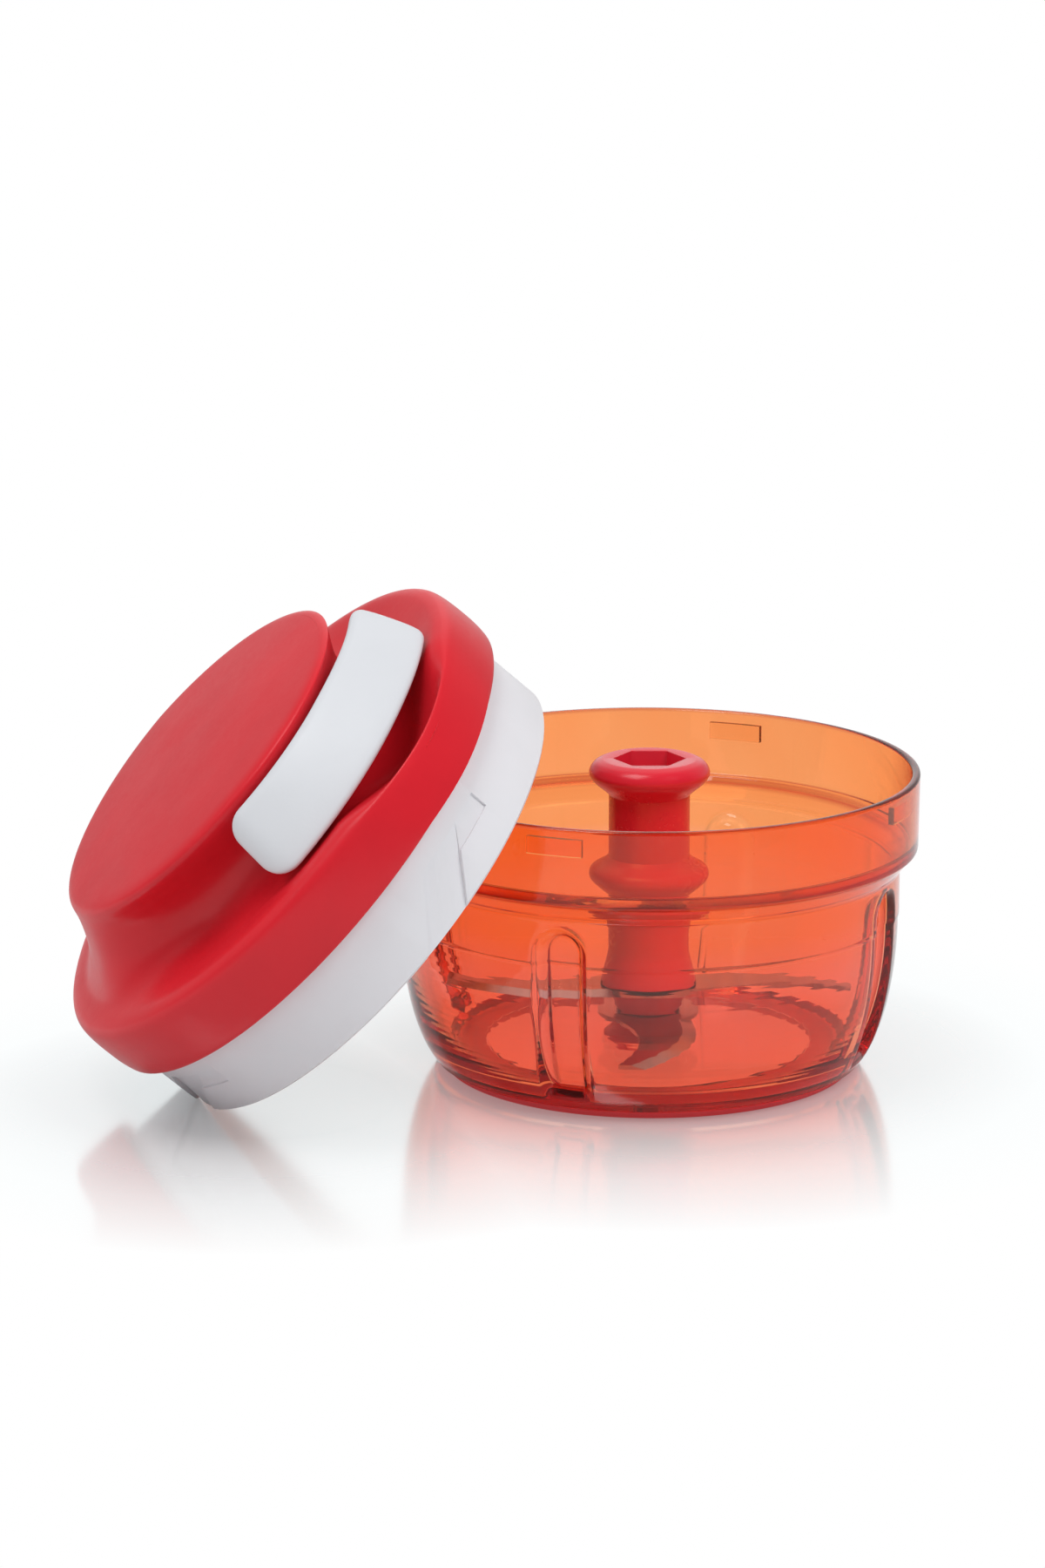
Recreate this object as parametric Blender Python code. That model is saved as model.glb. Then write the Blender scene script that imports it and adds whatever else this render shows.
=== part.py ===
"""Pull-cord food chopper with its cover taken off and leaning on the bowl.

Sizes are in millimetres and are scaled to metres where meshes are made.
The bowl stands on the origin with its axis on +Z. The cover has a frame of
its own: origin at the middle of its lower rim, +Z out of its top, and +X the
way its handle is pulled.
"""
import math

import bmesh
import bpy
from mathutils import Matrix, Vector

MM = 0.001
GAP = 0.3                      # air between two separate pieces
TURNED_SEGMENTS = 54           # round the large pieces
SMALL_SEGMENTS = 18            # round the small ones

# Bowl
BOWL_HEIGHT = 70.3
BOWL_WALL = 2.1
BODY_RADIUS = 58.2             # outside, under the collar
BODY_TAPER = 0.3               # how much the wall draws in down to the corner
CORNER_WIDTH = 12.3            # the bottom corner is a quarter ellipse
FLOOR_TOP = 4.4
COLLAR_STEP = 4.3              # how far the collar stands out from the body
COLLAR_WALL = 2.0
COLLAR_DRAFT = 0.2
COLLAR_DEPTH = 15.8            # from the rim down to the ledge that the cover sits on
COLLAR_SKIRT = 1.8             # the collar's outer face ends this far under the ledge
COLLAR_SLOPE = 4.8             # height of the slope from there to the wall
LEDGE_WIDTH = 1.5
LEDGE_FILLET = 0.8
LEDGE_SLOPE_END = 1.7          # the slope under the ledge ends this far above the outer one
RIM_ROUND = 0.8
PAD_RADIUS = 8.0               # flat pad in the middle of the base
BASE_RECESS = 1.6
FOOT_STEP = 2.6                # the foot ring reaches this far past the corner's start
FOOT_WIDTH = 9.2
FOOT_HEIGHT = 1.9
BOSS_RADIUS = 6.8
BOSS_TOP = 8.0
COLLAR_RADIUS = BODY_RADIUS + COLLAR_STEP
COLLAR_INNER = COLLAR_RADIUS - COLLAR_WALL
LEDGE_HEIGHT = BOWL_HEIGHT - COLLAR_DEPTH
COLLAR_BOTTOM = LEDGE_HEIGHT - COLLAR_SKIRT
COLLAR_SLOPE_BOTTOM = COLLAR_BOTTOM - COLLAR_SLOPE
BASE_RADIUS = BODY_RADIUS - BODY_TAPER - CORNER_WIDTH
CORNER_UNDERCUT = 2.0          # the wall starts this far out, over the foot ring
CORNER_FILLET = 0.4
FOOT_OUTER = BASE_RADIUS + FOOT_STEP
FOOT_INNER = FOOT_OUTER - FOOT_WIDTH

# Flutes, pressed into the wall
FLUTE_COUNT = 4
FLUTE_FIRST = -111.7           # degrees round the bowl
FLUTE_HALF_WIDTH = 7.0
FLUTE_EDGE = 3.4               # how wide the flute's side slope is
FLUTE_DEPTH = 3.2
FLUTE_DROP = 1.2               # from the slope under the collar down to the flute's top
FLUTE_FADE = (4.0, 11.0)       # the flute runs out between these heights
STRAIGHT_WALL = 3.0            # from the end of the flute's arch down to the rounded corner
FLUTE_TOP = COLLAR_SLOPE_BOTTOM - FLUTE_DROP
CORNER_HEIGHT = FLUTE_TOP - FLUTE_HALF_WIDTH - STRAIGHT_WALL

# Bayonet lugs inside the collar
LUG_WIDTH = 13.0
LUG_HEIGHT = 4.0
LUG_RISE = 11.1                # middle of the lugs above the ledge
LUG_DEPTH = 1.2
LUG_ROOT = 0.5                 # sunk into the collar wall
LUG_MIDDLE = LEDGE_HEIGHT + LUG_RISE

# Blade unit. Its other sizes follow from the cover's, below.
PIN_RADIUS = 2.5
PIN_BOTTOM = 2.4
PIN_TIP = 1.5                  # length of the pin's cone
PIN_SHORT = 2.0                # the pin ends this far under the top of the shaft's bore
BUSH_WALL = 1.5
SHAFT_BORE_TOP = 30.0
SHAFT_WEB = 4.0                # between the bore for the pin and the hollow above it
SHAFT_CORE_RADIUS = 6.3
COLUMN_RADIUS = 9.4
HUB_RADIUS = 10.4
HUB_TOP_RADIUS = 8.2
NECK_RADIUS = 6.4
MID_COLLAR_RADIUS = 13.9
MID_COLLAR_DROP = 26.9         # from the shaft's top to its middle collar
TOP_FLANGE_RADIUS = 14.0
FLANGE_DROP = 8.4              # from the shaft's top to the foot of its flange
HUB_SLOPE = 8.0                # height of the slope above the upper blade
SHAFT_CLEARANCE = 0.5          # under the deck when the cover is on
PLUG_PLAY = 0.8                # between the plug's corners and the socket's
SOCKET_DEPTH = 11.3
BLADE_THICKNESS = 1.0
LOWER_BLADE = 10.6             # underside of the lower blade
BLADE_SPACING = 7.0
BLADE_CLEARANCE = 5.4          # from the upper blade's tips to the flutes
LOWER_BLADE_SHORT = 3.0        # the lower blade is this much shorter, for the rounded corner
BLADE_ROOT_RADIUS = 11.8
BLADE_ROOT_WIDTH = 17.0
BLADE_TIP_WIDTH = 6.0
BLADE_NARROWING = 0.8          # under 1, it narrows more near the root
BLADE_GRIND = 3.2              # width of the ground edge
BLADE_BOW = 3.0                # bulge of the cutting edge
BLADE_BACK_BOW = 1.8
BLADE_OVERLAP = 2.0            # the wings reach this far into the blade's ring
BLADE_SWEEP = 16.0             # degrees the tip trails the root
BLADE_REACH = BODY_RADIUS - BOWL_WALL - FLUTE_DEPTH - BLADE_CLEARANCE
BLADE_LEVELS = {"blade_lower": (LOWER_BLADE, BLADE_REACH - LOWER_BLADE_SHORT, 100.0),
                "blade_upper": (LOWER_BLADE + BLADE_SPACING, BLADE_REACH, 12.0)}

# Cover, in its own frame
COVER_TILT = 48.6              # degrees from upright
COVER_TURN = 13.9              # degrees towards the front
COVER_Y = -20.0                # middle of the cover's rim, to the front of the bowl's axis
LEAN_GAP = 0.25                # air where the cover leans on the bowl's rim
RIM_SAMPLES = 1080             # places round the rims where that air is measured
HANDLE_TURN = 33.5             # pull direction, from level towards uphill
SEAM_HEIGHT = 18.7             # from the ring's rim up to the red shell
RING_WALL = 2.5
RING_LAP = 3.3                 # the ring reaches this far up inside the shell
LAP_CLEARANCE = 1.2            # above the ring's top
RIM_CHAMFER = 0.5
DECK_DROP = 0.7                # underside of the deck below the seam
DECK_THICKNESS = 2.2
DECK_HOLE = 9.6
RING_RADIUS = COLLAR_INNER - GAP
RING_TOP = SEAM_HEIGHT + RING_LAP
DECK_BOTTOM = SEAM_HEIGHT - DECK_DROP
DECK_TOP = DECK_BOTTOM + DECK_THICKNESS
GROOVE_DEPTH = RING_RADIUS - COLLAR_INNER + LUG_DEPTH + GAP
GROOVE_ANGLE = -25.0           # where the first groove opens, at the rim
GROOVE_LEAN = 1.0              # degrees the entry turns for each mm up
GROOVE_RUN = 12.0              # degrees the lug travels to lock
GROOVE_PLAY = 0.6              # degrees either side of the lug
COVER_WALL = 2.2
COVER_STEP = 3.3               # how far the shell stands out from the ring at the seam
COVER_RADIUS = RING_RADIUS + COVER_STEP
SEAM_INNER = RING_RADIUS + GAP

# Outline of the cover from the seam to the crown: distance in from the shell's
# edge at the seam, and height above the seam.
SHOULDER = [(0.0, 0.0), (-0.4, 2.9), (-0.5, 6.5), (-0.4, 10.2), (0.1, 12.9), (1.5, 14.8), (3.9, 15.7)]
FLARED_SIDE = [(7.3, 16.3), (9.5, 17.5), (11.6, 19.3), (13.9, 21.6), (15.9, 24.3), (17.6, 27.1),
               (19.0, 29.9), (19.9, 32.3)]
GROOVED_SIDE = [(8.9, 15.2), (14.7, 14.3), (20.5, 14.5), (24.2, 16.9), (25.5, 20.9), (24.9, 24.7),
                (22.8, 28.3), (20.5, 31.6)]
CROWN = [(20.4, 33.1), (21.6, 33.8), (24.5, 34.2), (41.5, 35.0)]
CROWN_EDGE = 31.6              # the crown's lower edge, above the seam
CROWN_THICKNESS = 3.7
CROWN_DROOP = 1.2              # the crown's edge is lower on its uphill side
CROWN_DROOP_FADE = (53.5, 23.5)
CROWN_TOP = SEAM_HEIGHT + CROWN_EDGE + CROWN_THICKNESS
WAIST_MIDDLE = 7.0
WAIST_FULL = 76.0              # degrees either side of its middle
WAIST_END = 121.0
WAIST_RADIUS = COVER_RADIUS - GROOVED_SIDE[4][0]
SCOOP_DEPTH = 6.8              # finger scoop under the handle
SCOOP_MIDDLE = 5.0
SCOOP_HALF_ANGLE = 27.0
SCOOP_OUTER_FADE = (-1.4, 3.5)     # across the ridge, as distances in from the edge
SCOOP_INNER_FADE = (25.0, 16.5)
SCOOP_TOP = 17.8               # no higher than this above the seam

# Mechanism, in the cover's frame
SPINDLE_RADIUS = 2.5
SPINDLE_FIT = 2.6              # the spindle reaches this far into the roof's boss
ROOF_BOSS_RADIUS = 6.5
WIND_RADIUS = 16.0             # middle of the cord on the spool
CORD_DIAMETER = 1.8
CORD_PITCH = 2.4
CORD_TURNS = 3
CORD_BEND = 3.0                # length over which it turns at the eyelet
CORD_RISE = 23.3               # where the cord leaves the spool, above the seam
SPOOL_RISE = 3.8               # the spool's top above the cord
SPOOL_WASHER = 0.8
SPOOL_FLANGE_RADIUS = 19.6
CORD_HEIGHT = SEAM_HEIGHT + CORD_RISE
SPOOL_TOP = CORD_HEIGHT + SPOOL_RISE
ROOF_BOSS_BOTTOM = SPOOL_TOP + 2 * GAP + SPOOL_WASHER
SPINDLE_TOP = ROOF_BOSS_BOTTOM + SPINDLE_FIT
FLANGE_THICKNESS = 1.6
BARREL_RADIUS = 26.0
BARREL_WALL = 1.6
ARBOR_RADIUS = 6.4
SPRING_TURNS = 5
SPRING_STRIP = 0.5
SPRING_CLEARANCE = 0.6
PLUG_FLANGE_RADIUS = 13.0
PLUG_FLANGE_THICKNESS = 2.3
PLUG_NECK_RADIUS = 9.0
PLUG_RADIUS = 7.6              # across the corners of the six-sided drive
PLUG_REACH = 10.5              # below the deck
PLUG_POCKET_RADIUS = 4.9
PLUG_POCKET_DEPTH = 4.5
WASHER_THICKNESS = 0.6
SPINDLE_SCREW_HEAD = 2.2
SPINDLE_SCREW_REACH = 7.0      # into the spindle
PLUG_BOTTOM = DECK_BOTTOM - PLUG_REACH
PLUG_POCKET_TOP = PLUG_BOTTOM + PLUG_POCKET_DEPTH
LID_BOTTOM = DECK_TOP + PLUG_FLANGE_THICKNESS + 2 * GAP
BARREL_BOTTOM = LID_BOTTOM + FLANGE_THICKNESS + GAP
SPOOL_FLOOR = CORD_HEIGHT - CORD_TURNS * CORD_PITCH - CORD_DIAMETER / 2 - GAP
SPOOL_WEB = SPOOL_FLOOR - FLANGE_THICKNESS
EYELET_RADIUS = 4.4
EYELET_BORE = 2.3
EYELET_RIM = 0.9
EYELET_CUT = 8.0               # the hole is cut this far either way from the waist

# Handle. Its section is given like the cover's outline.
HANDLE_HALF_ANGLE = 40.0
HANDLE_SECTION = [(16.4, 31.1), (15.5, 30.2), (13.2, 27.4), (10.9, 24.4), (8.6, 21.3), (6.5, 18.2),
                  (6.3, 17.1), (7.2, 16.4), (13.5, 16.3), (20.3, 16.3), (23.1, 17.5), (24.5, 19.9),
                  (24.9, 21.9), (24.1, 25.2), (22.3, 27.9), (20.1, 30.2), (18.8, 31.3), (17.7, 31.7)]
HANDLE_DROOP = 1.2             # like the crown's, at the top of the section
HANDLE_STEPS = 14
HANDLE_END_ROUND = 5.5
HANDLE_HALF_WIDTH = 8.5
POCKET_RADIUS = 5.0
POCKET_DEPTH = 8.8
PULL_PLUG_RECESS = 1.8
PULL_PLUG_LENGTH = 2.4
KNOT_RADIUS = 2.2
KNOT_LENGTH = 3.4

# Cover screws
SCREW_ANGLES = [52.0, 142.0, 232.0, 322.0]
POST_RADIUS = 3.0
POST_CLEARANCE = 0.7           # between the posts and the white ring
SCREW_CIRCLE = RING_RADIUS - RING_WALL - POST_RADIUS - POST_CLEARANCE
SCREW_RADIUS = 1.3
SCREW_HEAD_RADIUS = 2.8
SCREW_HEAD_HEIGHT = 1.6
SCREW_REACH = 9.5              # into the post

# Sizes of the blade unit that follow from the closed cover
SHAFT_CORE_BOTTOM = SHAFT_BORE_TOP + SHAFT_WEB
SHAFT_TOP = LEDGE_HEIGHT + GAP + DECK_BOTTOM - SHAFT_CLEARANCE
MID_COLLAR_HEIGHT = SHAFT_TOP - MID_COLLAR_DROP
SOCKET_BOTTOM = SHAFT_TOP - SOCKET_DEPTH
SOCKET_RADIUS = PLUG_RADIUS + PLUG_PLAY
PIN_TOP = SHAFT_BORE_TOP - PIN_SHORT

COLOURS = {
    "bowl_orange": ((0.90, 0.16, 0.03), 0.12, 0.0),
    "foot_rubber": ((0.45, 0.02, 0.03), 0.60, 0.0),
    "shaft_red": ((0.60, 0.02, 0.04), 0.35, 0.0),
    "cover_red": ((0.62, 0.04, 0.05), 0.45, 0.0),
    "cover_white": ((0.82, 0.82, 0.84), 0.40, 0.0),
    "cord_white": ((0.75, 0.74, 0.70), 0.80, 0.0),
    "nylon": ((0.70, 0.70, 0.66), 0.50, 0.0),
    "steel": ((0.62, 0.62, 0.63), 0.25, 1.0),
}


def material(name):
    """A Principled material, made once and shared by the pieces that use it."""
    found = bpy.data.materials.get(name)
    if found:
        return found
    colour, roughness, metallic = COLOURS[name]
    made = bpy.data.materials.new(name)
    made.use_nodes = True
    shader = made.node_tree.nodes["Principled BSDF"]
    shader.inputs["Base Color"].default_value = (*colour, 1.0)
    shader.inputs["Roughness"].default_value = roughness
    shader.inputs["Metallic"].default_value = metallic
    made.diffuse_color = (*colour, 1.0)
    return made


def smoothstep(low, high, value):
    t = min(1.0, max(0.0, (value - low) / (high - low)))
    return t * t * (3.0 - 2.0 * t)


def polar(radius, angle, height):
    """Point at a radius and an angle in degrees, in millimetres."""
    a = math.radians(angle)
    return Vector((radius * math.cos(a), radius * math.sin(a), height))


def even_angles(count):
    return [360.0 * i / count for i in range(count)]


def add_object(name, bm, finish, parent=None, place=None):
    """Turn a bmesh in millimetres into a named object."""
    bmesh.ops.recalc_face_normals(bm, faces=bm.faces)
    bmesh.ops.scale(bm, vec=(MM, MM, MM), verts=bm.verts)
    mesh = bpy.data.meshes.new(name)
    bm.to_mesh(mesh)
    bm.free()
    mesh.materials.append(material(finish))
    mesh.shade_smooth()
    mesh.set_sharp_from_angle(angle=math.radians(35))
    obj = bpy.data.objects.new(name, mesh)
    bpy.context.collection.objects.link(obj)
    if parent:
        obj.parent = parent
    if place:
        obj.matrix_local = place
    return obj


def loft(rings, first_pole=None, last_pole=None, loop=False, caps=False):
    """Skin a row of rings of equal count. Poles or flat caps close its ends, or it closes on itself."""
    bm = bmesh.new()
    rows = [[bm.verts.new(p) for p in ring] for ring in rings]
    count = len(rings[0])
    pairs = list(zip(rows, rows[1:]))
    if loop:
        pairs.append((rows[-1], rows[0]))
    for a, b in pairs:
        for i in range(count):
            j = (i + 1) % count
            bm.faces.new((a[i], a[j], b[j], b[i]))
    for pole, row in ((first_pole, rows[0]), (last_pole, rows[-1])):
        if pole is not None:
            tip = bm.verts.new(pole)
            for i in range(count):
                bm.faces.new((tip, row[i], row[(i + 1) % count]))
    if caps:
        bm.faces.new(rows[0])
        bm.faces.new(rows[-1])
    return bm


def turned(profile, segments=SMALL_SEGMENTS, start=0.0):
    """Turn a profile of (radius, height) about Z. It closes on itself unless its ends lie on the axis."""
    angles = [start + a for a in even_angles(segments)]
    on_axis = profile[0][0] == 0
    body = profile[1:-1] if on_axis else profile
    rings = [[polar(r, a, h) for a in angles] for r, h in body]
    if on_axis:
        return loft(rings, Vector((0, 0, profile[0][1])), Vector((0, 0, profile[-1][1])))
    return loft(rings, loop=True)


def tube_profile(inner, outer, bottom, top, chamfer=0.0):
    c = chamfer
    if c:
        return [(inner, bottom), (outer - c, bottom), (outer, bottom + c), (outer, top - c), (outer - c, top),
                (inner, top)]
    return [(inner, bottom), (outer, bottom), (outer, top), (inner, top)]


def rod_profile(radius, bottom, top):
    return [(0, bottom), (radius, bottom), (radius, top), (0, top)]


def cutter(name, bm, parent=None, place=None):
    obj = add_object(name, bm, "steel", parent, place)
    obj.hide_render = True
    obj.display_type = "WIRE"
    return obj


def boolean(target, tool, operation="DIFFERENCE"):
    step = target.modifiers.new(tool.name, "BOOLEAN")
    step.operation = operation
    step.object = tool
    step.solver = "EXACT"


def moved(bm, matrix):
    bmesh.ops.transform(bm, matrix=matrix, verts=bm.verts)
    return bm


def arc_block(inner, outer, start, end, bottom, top, steps=3, lean=0.0):
    """A block that follows a circle between two angles. Its top may be turned on by a lean, in degrees."""
    rings = []
    for i in range(steps + 1):
        a = start + (end - start) * i / steps
        rings.append([polar(inner, a, bottom), polar(outer, a, bottom), polar(outer, a + lean, top),
                      polar(inner, a + lean, top)])
    return loft(rings, caps=True)


def prism(radius, sides, bottom, top):
    angles = even_angles(sides)
    return loft([[polar(radius, a, h) for a in angles] for h in (bottom, top)], caps=True)


def flute_angles():
    return [FLUTE_FIRST + 360.0 / FLUTE_COUNT * i for i in range(FLUTE_COUNT)]


def flute_dent(angle, height):
    """How far the wall is pressed in at a place, as an arch with an upright run below it."""
    nearest = min(flute_angles(), key=lambda f: abs((angle - f + 180.0) % 360.0 - 180.0))
    across = math.radians((angle - nearest + 180.0) % 360.0 - 180.0) * BODY_RADIUS
    above = max(0.0, height - (FLUTE_TOP - FLUTE_HALF_WIDTH))
    away = math.hypot(across, above)
    side = smoothstep(0.0, FLUTE_EDGE, FLUTE_HALF_WIDTH - away)
    return FLUTE_DEPTH * side * smoothstep(*FLUTE_FADE, height)


def bowl_angles():
    """Lines up the wall, close together over each flute and even between them."""
    edge = FLUTE_HALF_WIDTH
    marks = [0.0, edge - FLUTE_EDGE, edge - FLUTE_EDGE / 2, edge]
    across = [math.degrees(m / BODY_RADIUS) for m in marks]
    pitch = 360.0 / FLUTE_COUNT
    between = 7
    plain = pitch - 2 * across[-1]
    angles = []
    for middle in flute_angles():
        angles += [middle - a for a in reversed(across)] + [middle + a for a in across[1:]]
        angles += [middle + across[-1] + plain * i / between for i in range(1, between)]
    return angles


def corner_points(radius, width, height, top, steps=5):
    """Quarter ellipse from the floor up to the wall."""
    points = []
    for i in range(1, steps + 1):
        a = math.radians(90.0 * i / steps)
        points.append((radius - width + width * math.sin(a), top - height * math.cos(a)))
    return points


def flute_heights():
    """Heights of the rings that shape the flute's arch, from the corner up."""
    arch = FLUTE_TOP - FLUTE_HALF_WIDTH
    return [arch + FLUTE_HALF_WIDTH * k for k in (0.35, 0.65, 0.86, 1.02)]


def make_bowl():
    low_radius = BODY_RADIUS - BODY_TAPER
    foot_top = FOOT_HEIGHT + GAP
    outer = [(FOOT_INNER - GAP, BASE_RECESS), (FOOT_INNER - GAP, foot_top),
             (BASE_RADIUS + CORNER_UNDERCUT, foot_top)]
    start_height = foot_top + CORNER_FILLET
    corner = corner_points(low_radius, CORNER_WIDTH, CORNER_HEIGHT, CORNER_HEIGHT)
    wall = [p for p in corner if p[1] > start_height]
    start = BASE_RADIUS + CORNER_WIDTH * math.sqrt(1 - (1 - start_height / CORNER_HEIGHT) ** 2)
    wall.insert(0, (start, start_height))
    wall += [(BODY_RADIUS - 0.05, h) for h in flute_heights()]
    outer += wall
    collar_low = COLLAR_RADIUS - COLLAR_DRAFT
    outer += [(BODY_RADIUS, COLLAR_SLOPE_BOTTOM), (collar_low - 0.8, COLLAR_BOTTOM - 0.6),
              (collar_low, COLLAR_BOTTOM + 0.2), (COLLAR_RADIUS, BOWL_HEIGHT - RIM_ROUND),
              (COLLAR_RADIUS - RIM_ROUND / 2, BOWL_HEIGHT)]
    inner_low = low_radius - BOWL_WALL
    inner_high = BODY_RADIUS - BOWL_WALL
    inner = [(COLLAR_INNER + RIM_ROUND / 2, BOWL_HEIGHT), (COLLAR_INNER, BOWL_HEIGHT - RIM_ROUND),
             (COLLAR_INNER, LEDGE_HEIGHT + LEDGE_FILLET), (COLLAR_INNER - LEDGE_FILLET, LEDGE_HEIGHT),
             (COLLAR_INNER - LEDGE_WIDTH, LEDGE_HEIGHT), (inner_high, COLLAR_SLOPE_BOTTOM + LEDGE_SLOPE_END),
             (inner_high, COLLAR_SLOPE_BOTTOM)]
    inner += [(inner_high - 0.05, h) for h in reversed(flute_heights())]
    inner += reversed(corner_points(inner_low, CORNER_WIDTH, CORNER_HEIGHT - FLOOR_TOP, CORNER_HEIGHT))
    inner += [(inner_low - CORNER_WIDTH, FLOOR_TOP)]
    angles = bowl_angles()
    rings = [[polar(r - (flute_dent(a, h) if r > BASE_RADIUS else 0.0), a, h) for a in angles]
             for r, h in outer + inner]
    bm = loft(rings, Vector((0, 0, BASE_RECESS)), Vector((0, 0, FLOOR_TOP)))
    bowl = add_object("bowl", bm, "bowl_orange")
    middle = (BASE_RECESS + FLOOR_TOP) / 2
    pad = [(0, 0), (PAD_RADIUS, 0), (PAD_RADIUS + 0.8, middle), (0, middle)]
    boolean(bowl, cutter("rest_pad", turned(pad, 20)), "UNION")
    boss = [(0, middle), (BOSS_RADIUS, middle), (BOSS_RADIUS, BOSS_TOP), (0, BOSS_TOP)]
    boolean(bowl, cutter("pin_boss", turned(boss, 20)), "UNION")
    hole = rod_profile(PIN_RADIUS + GAP, PIN_BOTTOM - GAP, BOSS_TOP + 1.0)
    boolean(bowl, cutter("pin_hole", turned(hole, 16)))
    half = math.degrees(LUG_WIDTH / 2 / COLLAR_INNER)
    low, high = LUG_MIDDLE - LUG_HEIGHT / 2, LUG_MIDDLE + LUG_HEIGHT / 2
    for i, middle in enumerate(flute_angles()):
        face, root = COLLAR_INNER - LUG_DEPTH, COLLAR_INNER + LUG_ROOT
        lug = arc_block(face, root, middle - half, middle + half, low, high)
        boolean(bowl, cutter(f"lug_{i}", lug), "UNION")
    return bowl


def make_foot_ring():
    profile = [(FOOT_INNER, 0.0), (FOOT_OUTER - 1.4, 0.0), (FOOT_OUTER - 0.3, 0.6),
               (FOOT_OUTER + 0.9, FOOT_HEIGHT), (FOOT_INNER, FOOT_HEIGHT)]
    add_object("foot_ring", turned(profile, 48), "foot_rubber")


def make_centre_pin():
    profile = [(0, PIN_BOTTOM), (PIN_RADIUS, PIN_BOTTOM), (PIN_RADIUS, PIN_TOP - PIN_TIP),
               (PIN_RADIUS - 1.0, PIN_TOP), (0, PIN_TOP)]
    add_object("centre_pin", turned(profile, 16), "steel")


def make_blade_bush():
    inner = PIN_RADIUS + GAP
    profile = tube_profile(inner, inner + BUSH_WALL, BOSS_TOP + GAP, SHAFT_BORE_TOP - GAP)
    add_object("blade_bush", turned(profile, 20), "nylon")


def blade_neck(level):
    """The shaft's neck that a blade's ring sits on."""
    return [(NECK_RADIUS, level - GAP), (NECK_RADIUS, level + BLADE_THICKNESS + GAP)]


def make_blade_shaft():
    bore = PIN_RADIUS + GAP + BUSH_WALL + GAP
    low = BLADE_LEVELS["blade_lower"][0]
    high = BLADE_LEVELS["blade_upper"][0]
    step = BLADE_THICKNESS + GAP
    bottom = FLOOR_TOP + GAP
    collar = MID_COLLAR_HEIGHT
    flange = SHAFT_TOP
    skirt = BOSS_RADIUS + GAP
    profile = [(0, SHAFT_BORE_TOP), (bore, SHAFT_BORE_TOP), (bore, BOSS_TOP + GAP), (skirt, BOSS_TOP + GAP),
               (skirt, bottom + 0.6), (skirt + 0.9, bottom), (HUB_RADIUS, bottom),
               (HUB_RADIUS, bottom + 1.0), (HUB_TOP_RADIUS, low - 2.0), (NECK_RADIUS + 0.6, low - GAP)]
    profile += blade_neck(low)
    profile += [(NECK_RADIUS + 0.9, low + step), (COLUMN_RADIUS, high - GAP)]
    profile += blade_neck(high)
    profile += [(HUB_RADIUS + 0.8, high + step), (HUB_RADIUS + 0.4, high + step + 2.0),
                (COLUMN_RADIUS + 0.2, high + HUB_SLOPE), (COLUMN_RADIUS, high + HUB_SLOPE + 1.5),
                (COLUMN_RADIUS, collar - 4.6), (COLUMN_RADIUS + 1.0, collar - 3.9),
                (MID_COLLAR_RADIUS - 0.5, collar - 1.2), (MID_COLLAR_RADIUS, collar + 0.2),
                (MID_COLLAR_RADIUS - 0.6, collar + 1.7), (COLUMN_RADIUS + 1.4, collar + 3.2),
                (COLUMN_RADIUS, collar + 4.4), (COLUMN_RADIUS, flange - FLANGE_DROP),
                (COLUMN_RADIUS + 1.0, flange - FLANGE_DROP + 1.0),
                (TOP_FLANGE_RADIUS - 1.0, flange - 5.2), (TOP_FLANGE_RADIUS, flange - 3.5),
                (TOP_FLANGE_RADIUS - 0.3, flange - 2.1), (TOP_FLANGE_RADIUS - 1.4, flange - 0.8),
                (TOP_FLANGE_RADIUS - 3.2, flange), (SHAFT_CORE_RADIUS, flange),
                (SHAFT_CORE_RADIUS, SHAFT_CORE_BOTTOM), (0, SHAFT_CORE_BOTTOM)]
    shaft = add_object("blade_shaft", turned(profile, 20), "shaft_red")
    boolean(shaft, cutter("socket_cut", prism(SOCKET_RADIUS, 6, SOCKET_BOTTOM, SHAFT_TOP + 1.0)))


def wing_outline(tip_radius, turn, steps=6):
    """One wing, as its cutting edge going out and its back coming home."""
    edge, back = [], []
    start = BLADE_ROOT_RADIUS - BLADE_OVERLAP
    for i in range(steps + 1):
        t = i / steps
        radius = start + (tip_radius - start) * t
        half = 0.5 * (BLADE_ROOT_WIDTH + (BLADE_TIP_WIDTH - BLADE_ROOT_WIDTH) * t ** BLADE_NARROWING)
        bow = math.sin(math.pi * t)
        middle = turn - BLADE_SWEEP * t
        across = polar(1.0, middle + 90.0, 0.0)
        root = polar(radius, middle, 0.0)
        edge.append(root + across * (half + BLADE_BOW * bow))
        back.append(root - across * (half - BLADE_BACK_BOW * bow))
    return edge, back


def make_blade(name):
    """Two wings on one ring, with the edge of each ground to one side."""
    level, tip_radius, turn = BLADE_LEVELS[name]
    lower, upper = [], []
    for side in (0.0, 180.0):
        edge, back = wing_outline(tip_radius, turn + side)
        outline = edge + list(reversed(back))
        for i, point in enumerate(outline):
            lower.append(point + Vector((0, 0, level)))
            inward = Vector((0, 0, 0))
            if i < len(edge):
                inward = (back[i] - edge[i]).normalized() * BLADE_GRIND
            upper.append(point + inward + Vector((0, 0, level + BLADE_THICKNESS)))
    blade = add_object(name, loft([lower, upper], caps=True), "steel")
    ring = turned(rod_profile(BLADE_ROOT_RADIUS, level, level + BLADE_THICKNESS), 24)
    boolean(blade, cutter(f"{name}_root", ring), "UNION")
    hole = turned(rod_profile(NECK_RADIUS + GAP, level - 1.0, level + BLADE_THICKNESS + 1.0), 24)
    boolean(blade, cutter(f"{name}_hole", hole))


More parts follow.
